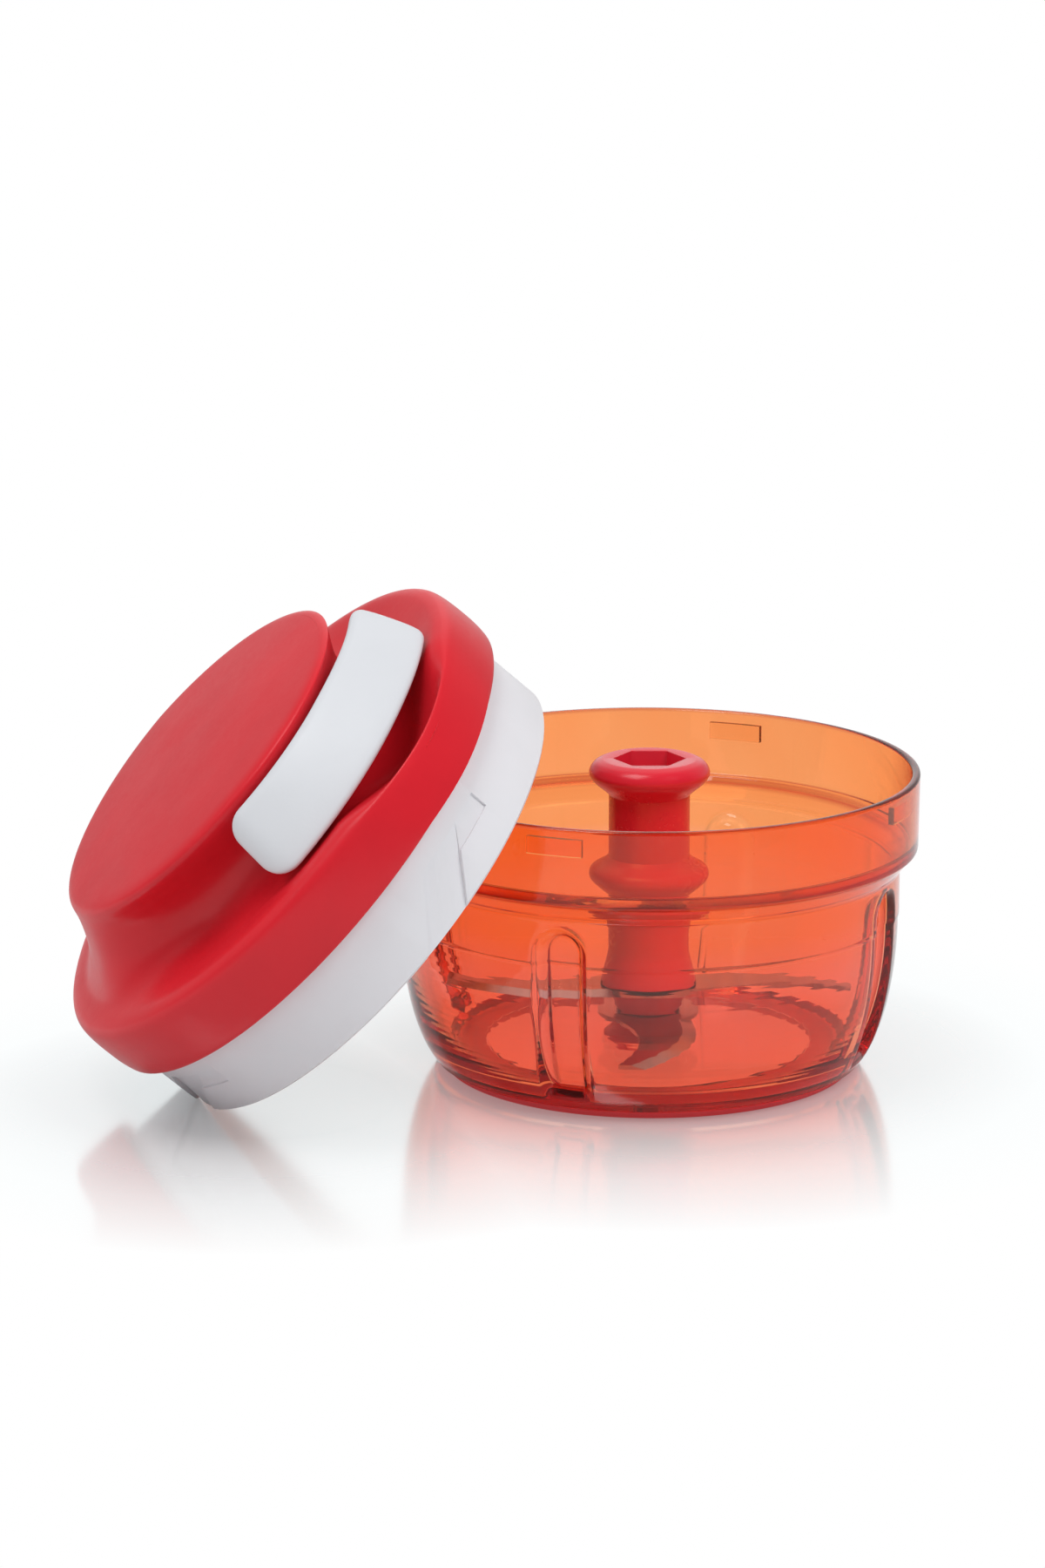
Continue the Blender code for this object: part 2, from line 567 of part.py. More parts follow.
def rim_gap(matrix):
    """Least distance, in millimetres, from the bowl's rim to the white ring's rim and the drive plug."""
    inverse = matrix.inverted()
    inner = RING_RADIUS - RING_WALL
    ring_edges = [(inner, 0.0), (RING_RADIUS - RIM_CHAMFER, 0.0), (RING_RADIUS, RIM_CHAMFER)]
    bowl_edges = [(COLLAR_INNER + RIM_ROUND / 2, BOWL_HEIGHT), (COLLAR_RADIUS - RIM_ROUND / 2, BOWL_HEIGHT),
                  (COLLAR_RADIUS, BOWL_HEIGHT - RIM_ROUND)]
    least = 1000.0
    for angle in even_angles(RIM_SAMPLES):
        for radius, height in bowl_edges:
            seen = inverse @ (polar(radius, angle, height) * MM) / MM
            out = math.hypot(seen.x, seen.y)
            least = min(least, math.hypot(max(inner - out, 0.0, out - RING_RADIUS), max(-seen.z, 0.0)),
                        math.hypot(max(out - PLUG_RADIUS, 0.0), max(PLUG_BOTTOM - seen.z, 0.0)))
        for radius, height in ring_edges:
            seen = matrix @ (polar(radius, angle, height) * MM) / MM
            out = math.hypot(seen.x, seen.y)
            least = min(least, math.hypot(max(COLLAR_INNER - out, 0.0, out - COLLAR_RADIUS),
                                          max(seen.z - BOWL_HEIGHT, 0.0)))
    return least


def cover_matrix():
    """The cover's frame: its lower rim stands on the table, its axis leans away from the bowl."""
    tilt, turn, pull = (math.radians(v) for v in (COVER_TILT, COVER_TURN, HANDLE_TURN))
    out = Vector((-math.sin(tilt) * math.cos(turn), -math.sin(tilt) * math.sin(turn), math.cos(tilt)))
    uphill = (Vector((0, 0, 1)) - out * out.z).normalized()
    level = uphill.cross(out)
    x = level * math.cos(pull) + uphill * math.sin(pull)
    y = out.cross(x)
    matrix = Matrix((x, y, out)).transposed().to_4x4()
    rest_height = RING_RADIUS * math.sin(tilt) - RIM_CHAMFER * math.cos(tilt)
    away, step = -(COLLAR_RADIUS + RING_RADIUS), 1.0
    while step > 0.005:
        matrix.translation = Vector((away + step, COVER_Y, rest_height)) * MM
        if rim_gap(matrix) > LEAN_GAP:
            away += step
        else:
            step /= 2
    matrix.translation = Vector((away, COVER_Y, rest_height)) * MM
    print(f"cover leans with its middle at x {away:.3f}, {rim_gap(matrix):.3f} mm from the bowl's rim")
    return matrix


def downhill_angle():
    """Angle in the cover's frame of the point of its rim that stands on the table."""
    return -90.0 - HANDLE_TURN


def uphill_share(angle):
    """One where the cover points uphill, falling to nothing a quarter turn away."""
    return max(0.0, math.cos(math.radians(angle - 90.0 + HANDLE_TURN)))


def from_seam(points):
    """Turn distances in from the cover's edge and up from its seam into radii and heights."""
    return [(COVER_RADIUS - inward, SEAM_HEIGHT + up) for inward, up in points]


def outline_at(angle):
    """Radius and height of the cover's outside from seam to crown, at an angle from the handle's middle."""
    away = abs((angle - WAIST_MIDDLE + 180.0) % 360.0 - 180.0)
    grooved = 1.0 - smoothstep(WAIST_FULL, WAIST_END, away)
    waist = [(a[0] + (b[0] - a[0]) * grooved, a[1] + (b[1] - a[1]) * grooved)
             for a, b in zip(FLARED_SIDE, GROOVED_SIDE)]
    from_scoop = abs((angle - SCOOP_MIDDLE + 180.0) % 360.0 - 180.0)
    scoop = SCOOP_DEPTH * (1.0 - smoothstep(0.0, SCOOP_HALF_ANGLE, from_scoop)) ** 0.8
    uphill = uphill_share(angle)
    shaped = []
    for inward, up in SHOULDER + waist + CROWN:
        reach = 0.0
        if up < SCOOP_TOP:
            reach = smoothstep(*SCOOP_OUTER_FADE, inward) * smoothstep(*SCOOP_INNER_FADE, inward)
        droop = uphill * smoothstep(CROWN_EDGE, CROWN_EDGE + 1.5, up) * smoothstep(*CROWN_DROOP_FADE, inward)
        shaped.append((inward, up - scoop * reach - CROWN_DROOP * droop))
    return from_seam(shaped)


def inset(points, distance):
    """Move an outline inwards along its own normals."""
    moved_points = []
    for i, (radius, height) in enumerate(points):
        before = points[max(0, i - 1)]
        after = points[min(len(points) - 1, i + 1)]
        along = Vector((after[0] - before[0], after[1] - before[1])).normalized()
        moved_points.append((radius - along.y * distance, height + along.x * distance))
    return moved_points


def post_top(angle):
    """Height that keeps a post's end inside the cover's wall at the post's far edge."""
    reach = SCREW_CIRCLE + POST_RADIUS
    points = outline_at(angle)
    past_ridge = len(SHOULDER) - 1
    for (r0, h0), (r1, h1) in zip(points[past_ridge:], points[past_ridge + 1:]):
        if r1 <= reach <= r0:
            return h0 + (h1 - h0) * (r0 - reach) / (r0 - r1) - 0.5
    return SEAM_HEIGHT


def make_cover(frame):
    angles = [downhill_angle() + a for a in even_angles(TURNED_SEGMENTS)]
    outlines = [outline_at(a) for a in angles]
    insides = [inset(points, COVER_WALL) for points in outlines]
    outer_rings, inner_rings = ([[polar(r, a, h) for a, (r, h) in zip(angles, level)] for level in zip(*rows)]
                                for rows in (outlines, insides))
    inner_rings = inner_rings[3::2]
    lap = [[polar(SEAM_INNER, a, h) for a in angles] for h in (RING_TOP + LAP_CLEARANCE, SEAM_HEIGHT)]
    bm = loft(inner_rings[::-1] + lap + outer_rings, Vector((0, 0, CROWN_TOP - COVER_WALL)),
              Vector((0, 0, CROWN_TOP)))
    cover = add_object("cover_shell", bm, "cover_red", frame)
    boss = turned(tube_profile(SPINDLE_RADIUS + GAP, ROOF_BOSS_RADIUS, ROOF_BOSS_BOTTOM,
                               CROWN_TOP - COVER_WALL / 2))
    boolean(cover, cutter("roof_boss", boss, frame), "UNION")
    for i, angle in enumerate(SCREW_ANGLES):
        at = Matrix.Translation(polar(SCREW_CIRCLE, angle, 0.0))
        post = moved(turned(rod_profile(POST_RADIUS, DECK_TOP + GAP, post_top(angle)), 10), at)
        boolean(cover, cutter(f"post_{i}", post, frame), "UNION")
        hole = rod_profile(SCREW_RADIUS + GAP, DECK_TOP - 1.0, DECK_TOP + SCREW_REACH + 2 * GAP)
        boolean(cover, cutter(f"post_hole_{i}", moved(turned(hole, 8), at), frame))
    seat = WAIST_RADIUS - 0.1
    bore = EYELET_RADIUS - EYELET_RIM + GAP
    start, end = WAIST_RADIUS - EYELET_CUT, WAIST_RADIUS + EYELET_CUT
    stepped = [(0, start), (bore, start), (bore, seat), (EYELET_RADIUS + GAP, seat),
               (EYELET_RADIUS + GAP, end), (0, end)]
    boolean(cover, cutter("eyelet_hole", moved(turned(stepped, 14), sideways(CORD_HEIGHT)), frame))
    return cover


def sideways(height):
    """Turn a shape that was made along Z to lie along the pull direction at a height."""
    return Matrix.Translation((0, 0, height)) @ Matrix.Rotation(math.radians(90), 4, "Y")


def make_inner_ring(frame):
    """White ring: skirt, locking grooves and the deck under the mechanism."""
    inner = RING_RADIUS - RING_WALL
    profile = [(RING_RADIUS - RIM_CHAMFER, 0.0), (RING_RADIUS, RIM_CHAMFER), (RING_RADIUS, RING_TOP),
               (inner + 0.4, RING_TOP), (inner, DECK_TOP), (DECK_HOLE, DECK_TOP), (DECK_HOLE, DECK_BOTTOM),
               (inner, DECK_BOTTOM), (inner, 0.0)]
    bm = turned(profile, TURNED_SEGMENTS, downhill_angle())
    ring = add_object("inner_ring", bm, "cover_white", frame)
    rise = LUG_MIDDLE - LEDGE_HEIGHT - GAP
    half = math.degrees(LUG_WIDTH / 2 / RING_RADIUS) + GROOVE_PLAY
    low, high = rise - LUG_HEIGHT / 2 - GAP, rise + LUG_HEIGHT / 2 + GAP
    floor = RING_RADIUS - GROOVE_DEPTH
    below = 1.0
    for i in range(FLUTE_COUNT):
        middle = GROOVE_ANGLE + 360.0 / FLUTE_COUNT * i
        start = middle - GROOVE_LEAN * below
        lean = GROOVE_LEAN * (high + below)
        entry = arc_block(floor, RING_RADIUS + 1.0, start - half, start + half, -below, high, lean=lean)
        boolean(ring, cutter(f"groove_entry_{i}", entry, frame))
        turned_to = middle + GROOVE_LEAN * low
        run = arc_block(floor, RING_RADIUS + 1.0, turned_to, turned_to + half + GROOVE_RUN, low, high)
        boolean(ring, cutter(f"groove_run_{i}", run, frame))
    for i, angle in enumerate(SCREW_ANGLES):
        hole = moved(turned(rod_profile(SCREW_RADIUS + GAP, DECK_BOTTOM - 1.0, DECK_TOP + 1.0), 8),
                     Matrix.Translation(polar(SCREW_CIRCLE, angle, 0.0)))
        boolean(ring, cutter(f"deck_hole_{i}", hole, frame))


def make_screws(frame):
    for i, angle in enumerate(SCREW_ANGLES):
        head_top = DECK_BOTTOM - GAP
        tip = DECK_TOP + SCREW_REACH
        profile = [(0, head_top - SCREW_HEAD_HEIGHT), (SCREW_HEAD_RADIUS - 0.6, head_top - SCREW_HEAD_HEIGHT),
                   (SCREW_HEAD_RADIUS, head_top - 0.6), (SCREW_HEAD_RADIUS, head_top),
                   (SCREW_RADIUS, head_top), (SCREW_RADIUS, tip - 1.6), (0.4, tip), (0, tip)]
        place = Matrix.Translation(polar(SCREW_CIRCLE, angle, 0.0) * MM)
        add_object(f"cover_screw_{i + 1}", turned(profile, 8), "steel", frame, place)


def make_spindle(frame):
    """Fixed spindle in the roof, with the screw and washer that keep the plug on it."""
    bottom = PLUG_POCKET_TOP + GAP
    bore = SCREW_RADIUS + GAP
    bore_top = bottom + SPINDLE_SCREW_REACH + 1.0
    profile = [(0, bore_top), (bore, bore_top), (bore, bottom), (SPINDLE_RADIUS, bottom),
               (SPINDLE_RADIUS, SPINDLE_TOP), (0, SPINDLE_TOP)]
    add_object("spindle", turned(profile, 16), "steel", frame)
    washer_bottom = PLUG_POCKET_TOP - GAP - WASHER_THICKNESS
    washer = tube_profile(bore, PLUG_POCKET_RADIUS - 2 * GAP, washer_bottom, washer_bottom + WASHER_THICKNESS)
    add_object("spindle_washer", turned(washer), "steel", frame)
    head_top = washer_bottom - GAP
    head_bottom = head_top - SPINDLE_SCREW_HEAD
    head_radius = PLUG_POCKET_RADIUS - 4 * GAP
    tip = bottom + SPINDLE_SCREW_REACH
    head = [(0, head_bottom), (head_radius - 0.4, head_bottom), (head_radius, head_bottom + 0.6),
            (head_radius, head_top), (SCREW_RADIUS, head_top), (SCREW_RADIUS, tip), (0, tip)]
    add_object("spindle_screw", turned(head, 16), "steel", frame)


def make_spool(frame):
    """Cord spool on top of the spring's barrel, one moulding, with the lid and arbor of the barrel."""
    bore = SPINDLE_RADIUS + GAP
    hub = WIND_RADIUS - CORD_DIAMETER / 2 - GAP - 0.1
    barrel_top = SPOOL_WEB + BARREL_WALL
    groove_top = SPOOL_TOP - FLANGE_THICKNESS
    profile = [(bore, SPOOL_WEB), (BARREL_RADIUS - BARREL_WALL, SPOOL_WEB),
               (BARREL_RADIUS - BARREL_WALL, BARREL_BOTTOM), (BARREL_RADIUS, BARREL_BOTTOM),
               (BARREL_RADIUS, barrel_top - 0.8), (BARREL_RADIUS - 0.8, barrel_top), (hub, SPOOL_FLOOR),
               (hub, groove_top), (SPOOL_FLANGE_RADIUS, groove_top + 0.6), (SPOOL_FLANGE_RADIUS, SPOOL_TOP),
               (bore, SPOOL_TOP)]
    add_object("spool", turned(profile, 30), "nylon", frame)
    washer = tube_profile(bore, ROOF_BOSS_RADIUS, SPOOL_TOP + GAP, ROOF_BOSS_BOTTOM - GAP)
    add_object("spool_washer", turned(washer), "steel", frame)
    arbor = tube_profile(bore, ARBOR_RADIUS, BARREL_BOTTOM + 2 * GAP, SPOOL_WEB - GAP)
    add_object("spring_arbor", turned(arbor), "steel", frame)
    lid = tube_profile(bore, BARREL_RADIUS, LID_BOTTOM, LID_BOTTOM + FLANGE_THICKNESS)
    add_object("barrel_lid", turned(lid, 30), "nylon", frame)


def make_spring(frame):
    """Flat spiral strip from the arbor out to the barrel's wall."""
    first = ARBOR_RADIUS + GAP + SPRING_STRIP / 2
    last = BARREL_RADIUS - BARREL_WALL - GAP - SPRING_STRIP / 2
    inner, outer = -SPRING_STRIP / 2, SPRING_STRIP / 2
    low, high = BARREL_BOTTOM + SPRING_CLEARANCE, SPOOL_WEB - SPRING_CLEARANCE
    steps = SPRING_TURNS * 20
    rings = []
    for i in range(steps + 1):
        t = i / steps
        radius = first + (last - first) * t
        angle = 360.0 * SPRING_TURNS * t
        rings.append([polar(radius + inner, angle, low), polar(radius + outer, angle, low),
                      polar(radius + outer, angle, high), polar(radius + inner, angle, high)])
    add_object("spiral_spring", loft(rings, caps=True), "steel", frame)


def make_drive_plug(frame):
    """Six-sided plug that turns the blade shaft when the cover is on."""
    bore = SPINDLE_RADIUS + GAP
    top = LID_BOTTOM - GAP
    inside = PLUG_POCKET_TOP + 1.0
    profile = [(bore, top), (bore, inside), (PLUG_NECK_RADIUS - 2.6, inside), (PLUG_NECK_RADIUS, DECK_BOTTOM),
               (PLUG_NECK_RADIUS, DECK_TOP + GAP), (PLUG_FLANGE_RADIUS, DECK_TOP + GAP),
               (PLUG_FLANGE_RADIUS, top)]
    plug = add_object("drive_plug", turned(profile, 20), "shaft_red", frame)
    drive = prism(PLUG_RADIUS, 6, PLUG_BOTTOM, DECK_BOTTOM - 0.6)
    boolean(plug, cutter("plug_drive", drive, frame), "UNION")
    pocket = turned(rod_profile(PLUG_POCKET_RADIUS, PLUG_BOTTOM - 1.0, PLUG_POCKET_TOP))
    boolean(plug, cutter("plug_pocket", pocket, frame))
    boolean(plug, cutter("plug_bore", turned(rod_profile(bore, PLUG_POCKET_TOP - 1.0, top + 1.0), 16), frame))


def tube(name, points, radius, finish, parent, resolution=1):
    """Round tube along a row of points, as a curve with closed ends."""
    curve = bpy.data.curves.new(name, "CURVE")
    curve.dimensions = "3D"
    curve.bevel_depth = radius * MM
    curve.bevel_resolution = resolution
    curve.use_fill_caps = True
    spline = curve.splines.new("POLY")
    spline.points.add(len(points) - 1)
    for slot, point in zip(spline.points, points):
        slot.co = (*(point * MM), 1.0)
    curve.materials.append(material(finish))
    obj = bpy.data.objects.new(name, curve)
    bpy.context.collection.objects.link(obj)
    obj.parent = parent
    return obj


def leave_angle():
    """Angle on the spool where the cord runs straight to the eyelet."""
    return -math.degrees(math.acos(WIND_RADIUS / eyelet_middle()))


def eyelet_middle():
    return WAIST_RADIUS - COVER_WALL / 2


def make_cord(frame):
    """Cord: turns on the spool, the run through the eyelet, and the knot in the handle."""
    radius = CORD_DIAMETER / 2
    per_turn = 24
    leave = leave_angle()
    turns = []
    for i in range(CORD_TURNS * per_turn + 1):
        t = i / per_turn
        turns.append(polar(WIND_RADIUS, leave - 360.0 * t, CORD_HEIGHT - CORD_PITCH * t))
    tube("cord_winding", turns, radius, "cord_white", frame)
    gaps = [(a - b).length for i, a in enumerate(turns) for b in turns[i + per_turn // 2:]]
    print(f"cord winding, least gap to itself {min(gaps) - CORD_DIAMETER:.2f} mm")
    start = polar(WIND_RADIUS, leave, CORD_HEIGHT)
    eyelet = Vector((eyelet_middle(), 0, CORD_HEIGHT))
    heading = (eyelet - start).normalized()
    first = start + heading * GAP
    last = Vector((pocket_start() + PULL_PLUG_RECESS + PULL_PLUG_LENGTH + GAP, 0, CORD_HEIGHT))
    before = eyelet - heading * CORD_BEND
    after = eyelet + Vector((1, 0, 0)) * CORD_BEND * 0.6
    run = [first + (before - first) * i / 5 for i in range(6)]
    for i in range(1, 5):
        t = i / 5
        run.append(before * (1 - t) ** 2 + eyelet * 2 * t * (1 - t) + after * t ** 2)
    run += [after, after.lerp(last, 0.5), last]
    tube("cord_run", run, radius, "cord_white", frame)
    knot_from = last.x + GAP
    knot = [(0, knot_from), (KNOT_RADIUS * 0.7, knot_from + KNOT_LENGTH * 0.1),
            (KNOT_RADIUS, knot_from + KNOT_LENGTH * 0.35), (KNOT_RADIUS, knot_from + KNOT_LENGTH * 0.65),
            (KNOT_RADIUS * 0.7, knot_from + KNOT_LENGTH * 0.9), (0, knot_from + KNOT_LENGTH)]
    add_object("cord_knot", moved(turned(knot, 12), sideways(CORD_HEIGHT)), "cord_white", frame)


def make_eyelet(frame):
    outside = WAIST_RADIUS
    inside = outside - COVER_WALL - 1.0
    profile = [(EYELET_BORE + 0.5, inside), (EYELET_RADIUS - EYELET_RIM, inside),
               (EYELET_RADIUS - EYELET_RIM, outside + GAP), (EYELET_RADIUS, outside + GAP),
               (EYELET_RADIUS - 0.3, outside + GAP + 0.6), (EYELET_BORE + 0.5, outside + GAP + 0.6),
               (EYELET_BORE, outside + GAP), (EYELET_BORE, inside + 0.6)]
    add_object("cord_eyelet", moved(turned(profile, 16), sideways(CORD_HEIGHT)), "steel", frame)


def pocket_start():
    """Back of the handle at the cord's height."""
    section = from_seam(HANDLE_SECTION)
    for (r0, h0), (r1, h1) in zip(section, section[1:]):
        if h0 <= CORD_HEIGHT <= h1:
            return r0 + (r1 - r0) * (CORD_HEIGHT - h0) / (h1 - h0)
    return section[-1][0]


def handle_end(radius):
    """Angle back from the handle's end and share of the full section there, for a round end."""
    steps = []
    for reach in (1.0, 0.9, 0.7, 0.4):
        back = math.degrees(HANDLE_END_ROUND * (1.0 - reach) / radius)
        lost = (1.0 - math.sqrt(1.0 - (reach * 0.98) ** 2)) * HANDLE_END_ROUND / HANDLE_HALF_WIDTH
        steps.append((back, 1.0 - lost))
    return steps


def make_handle(frame):
    section = from_seam(HANDLE_SECTION)
    middle_r = sum(r for r, h in section) / len(section)
    middle_h = sum(h for r, h in section) / len(section)
    ends = handle_end(middle_r)
    inner = HANDLE_HALF_ANGLE - math.degrees(HANDLE_END_ROUND / middle_r)
    steps = [(back - HANDLE_HALF_ANGLE, share) for back, share in ends]
    steps += [(-inner + 2 * inner * i / HANDLE_STEPS, 1.0) for i in range(HANDLE_STEPS + 1)]
    steps += [(HANDLE_HALF_ANGLE - back, share) for back, share in reversed(ends)]
    low, high = min(h for r, h in section), max(h for r, h in section)
    rings = []
    for angle, share in steps:
        droop = HANDLE_DROOP * uphill_share(angle)
        rings.append([polar(middle_r + (r - middle_r) * share, angle,
                            middle_h + (h - droop * (h - low) / (high - low) - middle_h) * share)
                      for r, h in section])
    grip = add_object("handle_grip", loft(rings, caps=True), "cover_white", frame)
    back = pocket_start()
    pocket = turned(rod_profile(POCKET_RADIUS, back - POCKET_DEPTH, back + POCKET_DEPTH), 20)
    boolean(grip, cutter("handle_pocket", moved(pocket, sideways(CORD_HEIGHT)), frame))
    start = back + PULL_PLUG_RECESS
    plug = tube_profile(CORD_DIAMETER / 2 + GAP, POCKET_RADIUS - GAP, start, start + PULL_PLUG_LENGTH)
    add_object("handle_plug", moved(turned(plug, 20), sideways(CORD_HEIGHT)), "cover_white", frame)


def main():
    for obj in list(bpy.data.objects):
        bpy.data.objects.remove(obj)
    make_bowl()
    make_foot_ring()
    make_centre_pin()
    make_blade_bush()
    make_blade_shaft()
    for name in BLADE_LEVELS:
        make_blade(name)
    frame = bpy.data.objects.new("cover_frame", None)
    bpy.context.collection.objects.link(frame)
    frame.matrix_world = cover_matrix()
    make_cover(frame)
    make_inner_ring(frame)
    make_screws(frame)
    make_spindle(frame)
    make_spool(frame)
    make_spring(frame)
    make_drive_plug(frame)
    make_eyelet(frame)
    make_cord(frame)
    make_handle(frame)


main()
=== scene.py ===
"""Looks of the pull-cord food chopper: finer skins for its moulded pieces, materials, light and camera.

Shapes are in millimetres, with the same values as the solids that they stand for. Materials,
lamps and the camera are in metres. The cover has a frame of its own: origin at the middle of
its lower rim, +Z out of its top, and +X the way its handle is pulled.
"""
import math

import bmesh
import bpy
from mathutils import Matrix, Vector


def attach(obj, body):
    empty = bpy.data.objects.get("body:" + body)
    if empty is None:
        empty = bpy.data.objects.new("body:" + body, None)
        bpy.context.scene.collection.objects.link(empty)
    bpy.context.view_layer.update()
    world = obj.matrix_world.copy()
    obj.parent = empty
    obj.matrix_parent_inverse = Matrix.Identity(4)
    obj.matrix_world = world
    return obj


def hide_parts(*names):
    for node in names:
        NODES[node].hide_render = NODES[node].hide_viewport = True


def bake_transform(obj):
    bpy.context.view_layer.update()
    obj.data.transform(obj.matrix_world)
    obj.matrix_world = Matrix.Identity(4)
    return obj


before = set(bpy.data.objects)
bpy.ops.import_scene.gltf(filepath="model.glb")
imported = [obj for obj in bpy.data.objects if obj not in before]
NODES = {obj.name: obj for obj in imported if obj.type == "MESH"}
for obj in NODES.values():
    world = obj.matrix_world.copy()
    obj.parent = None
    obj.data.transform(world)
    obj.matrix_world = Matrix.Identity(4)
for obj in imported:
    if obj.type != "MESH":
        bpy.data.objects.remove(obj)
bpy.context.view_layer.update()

MM = 0.001
GAP = 0.3  # air between two separate pieces

# Bowl
BOWL_HEIGHT = 70.3
BOWL_WALL = 2.1
BODY_RADIUS = 58.2
BODY_TAPER = 0.3
CORNER_WIDTH = 12.3
CORNER_HEIGHT = 36.7
FLOOR_TOP = 4.4
COLLAR_RADIUS = 62.5
COLLAR_INNER = 60.5
COLLAR_DRAFT = 0.2
COLLAR_BOTTOM = 52.7
COLLAR_SLOPE_BOTTOM = 47.9
LEDGE_HEIGHT = 54.5
LEDGE_WIDTH = 1.5
LEDGE_FILLET = 0.8
LEDGE_SLOPE_END = 1.7
RIM_ROUND = 0.8
ROUND_STEPS = (0, 22, 45, 68, 90)
PAD_RADIUS = 8.0
BASE_RECESS = 1.6
FOOT_INNER = 39.0
FOOT_OUTER = 48.2
FOOT_HEIGHT = 1.9
BOSS_RADIUS = 6.8
BOSS_TOP = 8.0
FLUTE_COUNT = 4
FLUTE_FIRST = -111.7
FLUTE_HALF_WIDTH = 7.0
FLUTE_EDGE = 3.4
FLUTE_DEPTH = 3.2
FLUTE_TOP = 46.7
FLUTE_FADE = (4.0, 9.0)
FLUTE_LINES = 22  # lines up the wall over half a flute, this far apart
FLUTE_LINE_STEP = 0.35
WALL_LINES = 34  # lines up the wall from one flute to the next
LUG_WIDTH = 13.0
LUG_HEIGHT = 4.0
LUG_MIDDLE = 65.6
LUG_DEPTH = 1.2
LUG_ROOT = 0.5

# Blade unit
PIN_RADIUS = 2.5
PIN_BOTTOM = 2.4
BUSH_WALL = 1.5
SHAFT_BORE_TOP = 30.0
SHAFT_CORE_BOTTOM = 34.0
SHAFT_CORE_RADIUS = 6.3
COLUMN_RADIUS = 9.4
HUB_RADIUS = 10.4
HUB_TOP_RADIUS = 8.2
NECK_RADIUS = 6.4
MID_COLLAR_RADIUS = 13.9
MID_COLLAR_HEIGHT = 45.4
TOP_FLANGE_RADIUS = 14.0
SHAFT_TOP = 72.3
SOCKET_RADIUS = 8.4
SOCKET_BOTTOM = 61.0
BLADE_THICKNESS = 1.0
BLADE_ROOT_RADIUS = 11.8
BLADE_ROOT_WIDTH = 17.0
BLADE_TIP_WIDTH = 6.0
BLADE_GRIND = 3.2
BLADE_SWEEP = 16.0
BLADE_BOW = 3.0
# Height of the underside, reach, and the angle of the first wing
BLADE_LEVELS = {"blade_lower": (10.6, 44.5, 100.0), "blade_upper": (17.6, 47.5, 12.0)}

# Cover
COVER_TILT = 48.6
COVER_TURN = 13.9
COVER_X = -65.4266
COVER_Y = -20.0
HANDLE_TURN = 33.5
RING_RADIUS = 60.2
RING_WALL = 2.5
RING_TOP = 22.0
RIM_CHAMFER = 0.5
DECK_BOTTOM = 18.0
DECK_THICKNESS = 2.2
DECK_TOP = DECK_BOTTOM + DECK_THICKNESS
DECK_HOLE = 9.6
DECK_FILLET = 1.5
GROOVE_DEPTH = (RING_RADIUS - COLLAR_INNER + LUG_DEPTH + GAP) / 2  # half the solid's, to show fainter
GROOVE_ANGLE = -25.0
GROOVE_LEAN = 1.0
GROOVE_RUN = 12.0
SEAM_HEIGHT = 18.7
COVER_WALL = 2.2
SEAM_INNER = RING_RADIUS + GAP
COVER_RADIUS = 63.5
# Outlines as distances in from the cover's edge at the seam, and heights above the seam
SHOULDER = [(0.0, 0.0), (-0.4, 2.9), (-0.5, 6.5), (-0.4, 10.2), (-0.1, 12.8), (0.4, 14.2),
            (1.5, 15.2), (3.9, 15.8)]
FLARED_SIDE = [(7.3, 16.3), (9.5, 17.5), (11.6, 19.3), (13.9, 21.6), (15.9, 24.3), (17.6, 27.1),
               (19.0, 29.9), (19.9, 32.3)]
GROOVED_SIDE = [(8.9, 15.2), (14.7, 14.3), (20.5, 14.5), (24.2, 16.9), (25.5, 20.9), (24.9, 24.7),
                (22.8, 28.3), (20.5, 31.6)]
CROWN = [(20.4, 33.1), (21.6, 33.8), (24.5, 34.2), (41.5, 35.0)]
CROWN_EDGE = 31.6
CROWN_DROOP = 1.2
CROWN_DROOP_FADE = (53.5, 23.5)
CROWN_TOP = 54.0
COVER_SEGMENTS = 180
WAIST_RADIUS = COVER_RADIUS - GROOVED_SIDE[4][0]
WAIST_MIDDLE = 7.0
WAIST_FULL = 76.0
WAIST_END = 121.0
SCOOP_DEPTH = 6.8
SCOOP_MIDDLE = 5.0
SCOOP_HALF_ANGLE = 27.0
SCOOP_OUTER_FADE = (-1.4, 3.5)
SCOOP_INNER_FADE = (25.0, 16.5)
SCOOP_TOP = 17.8
SCREW_CIRCLE = 54.0
SCREW_ANGLES = [52.0, 142.0, 232.0, 322.0]
SCREW_RADIUS = 1.3

# Cord and handle
WIND_RADIUS = 16.0
CORD_DIAMETER = 1.8
CORD_PITCH = 2.4
CORD_TURNS = 3
CORD_HEIGHT = 42.0
TURN_STEPS = 72
EYELET_RADIUS = 4.4
EYELET_RIM = 0.9
EYELET_CUT = (8.0, 10.0)  # the hole is cut this far in and out from the waist
EYELET_MIDDLE = WAIST_RADIUS - COVER_WALL / 2
CORD_LEAVES = -math.degrees(math.acos(WIND_RADIUS / EYELET_MIDDLE))  # angle at which it leaves the spool
BEND_BEFORE = 3.0  # the cord bends at the eyelet from here to there
BEND_AFTER = 1.8
HANDLE_HALF_ANGLE = 40.0
HANDLE_SECTION = [(16.4, 31.1), (15.5, 30.2), (13.2, 27.4), (10.9, 24.4), (8.6, 21.3), (6.5, 18.2),
                  (6.3, 17.1), (7.2, 16.4), (13.5, 16.3), (20.3, 16.3), (23.1, 17.5), (24.5, 19.9),
                  (24.9, 21.9), (24.1, 25.2), (22.3, 27.9), (20.1, 30.2), (18.8, 31.3), (17.7, 31.7)]
HANDLE_DROOP = 1.2
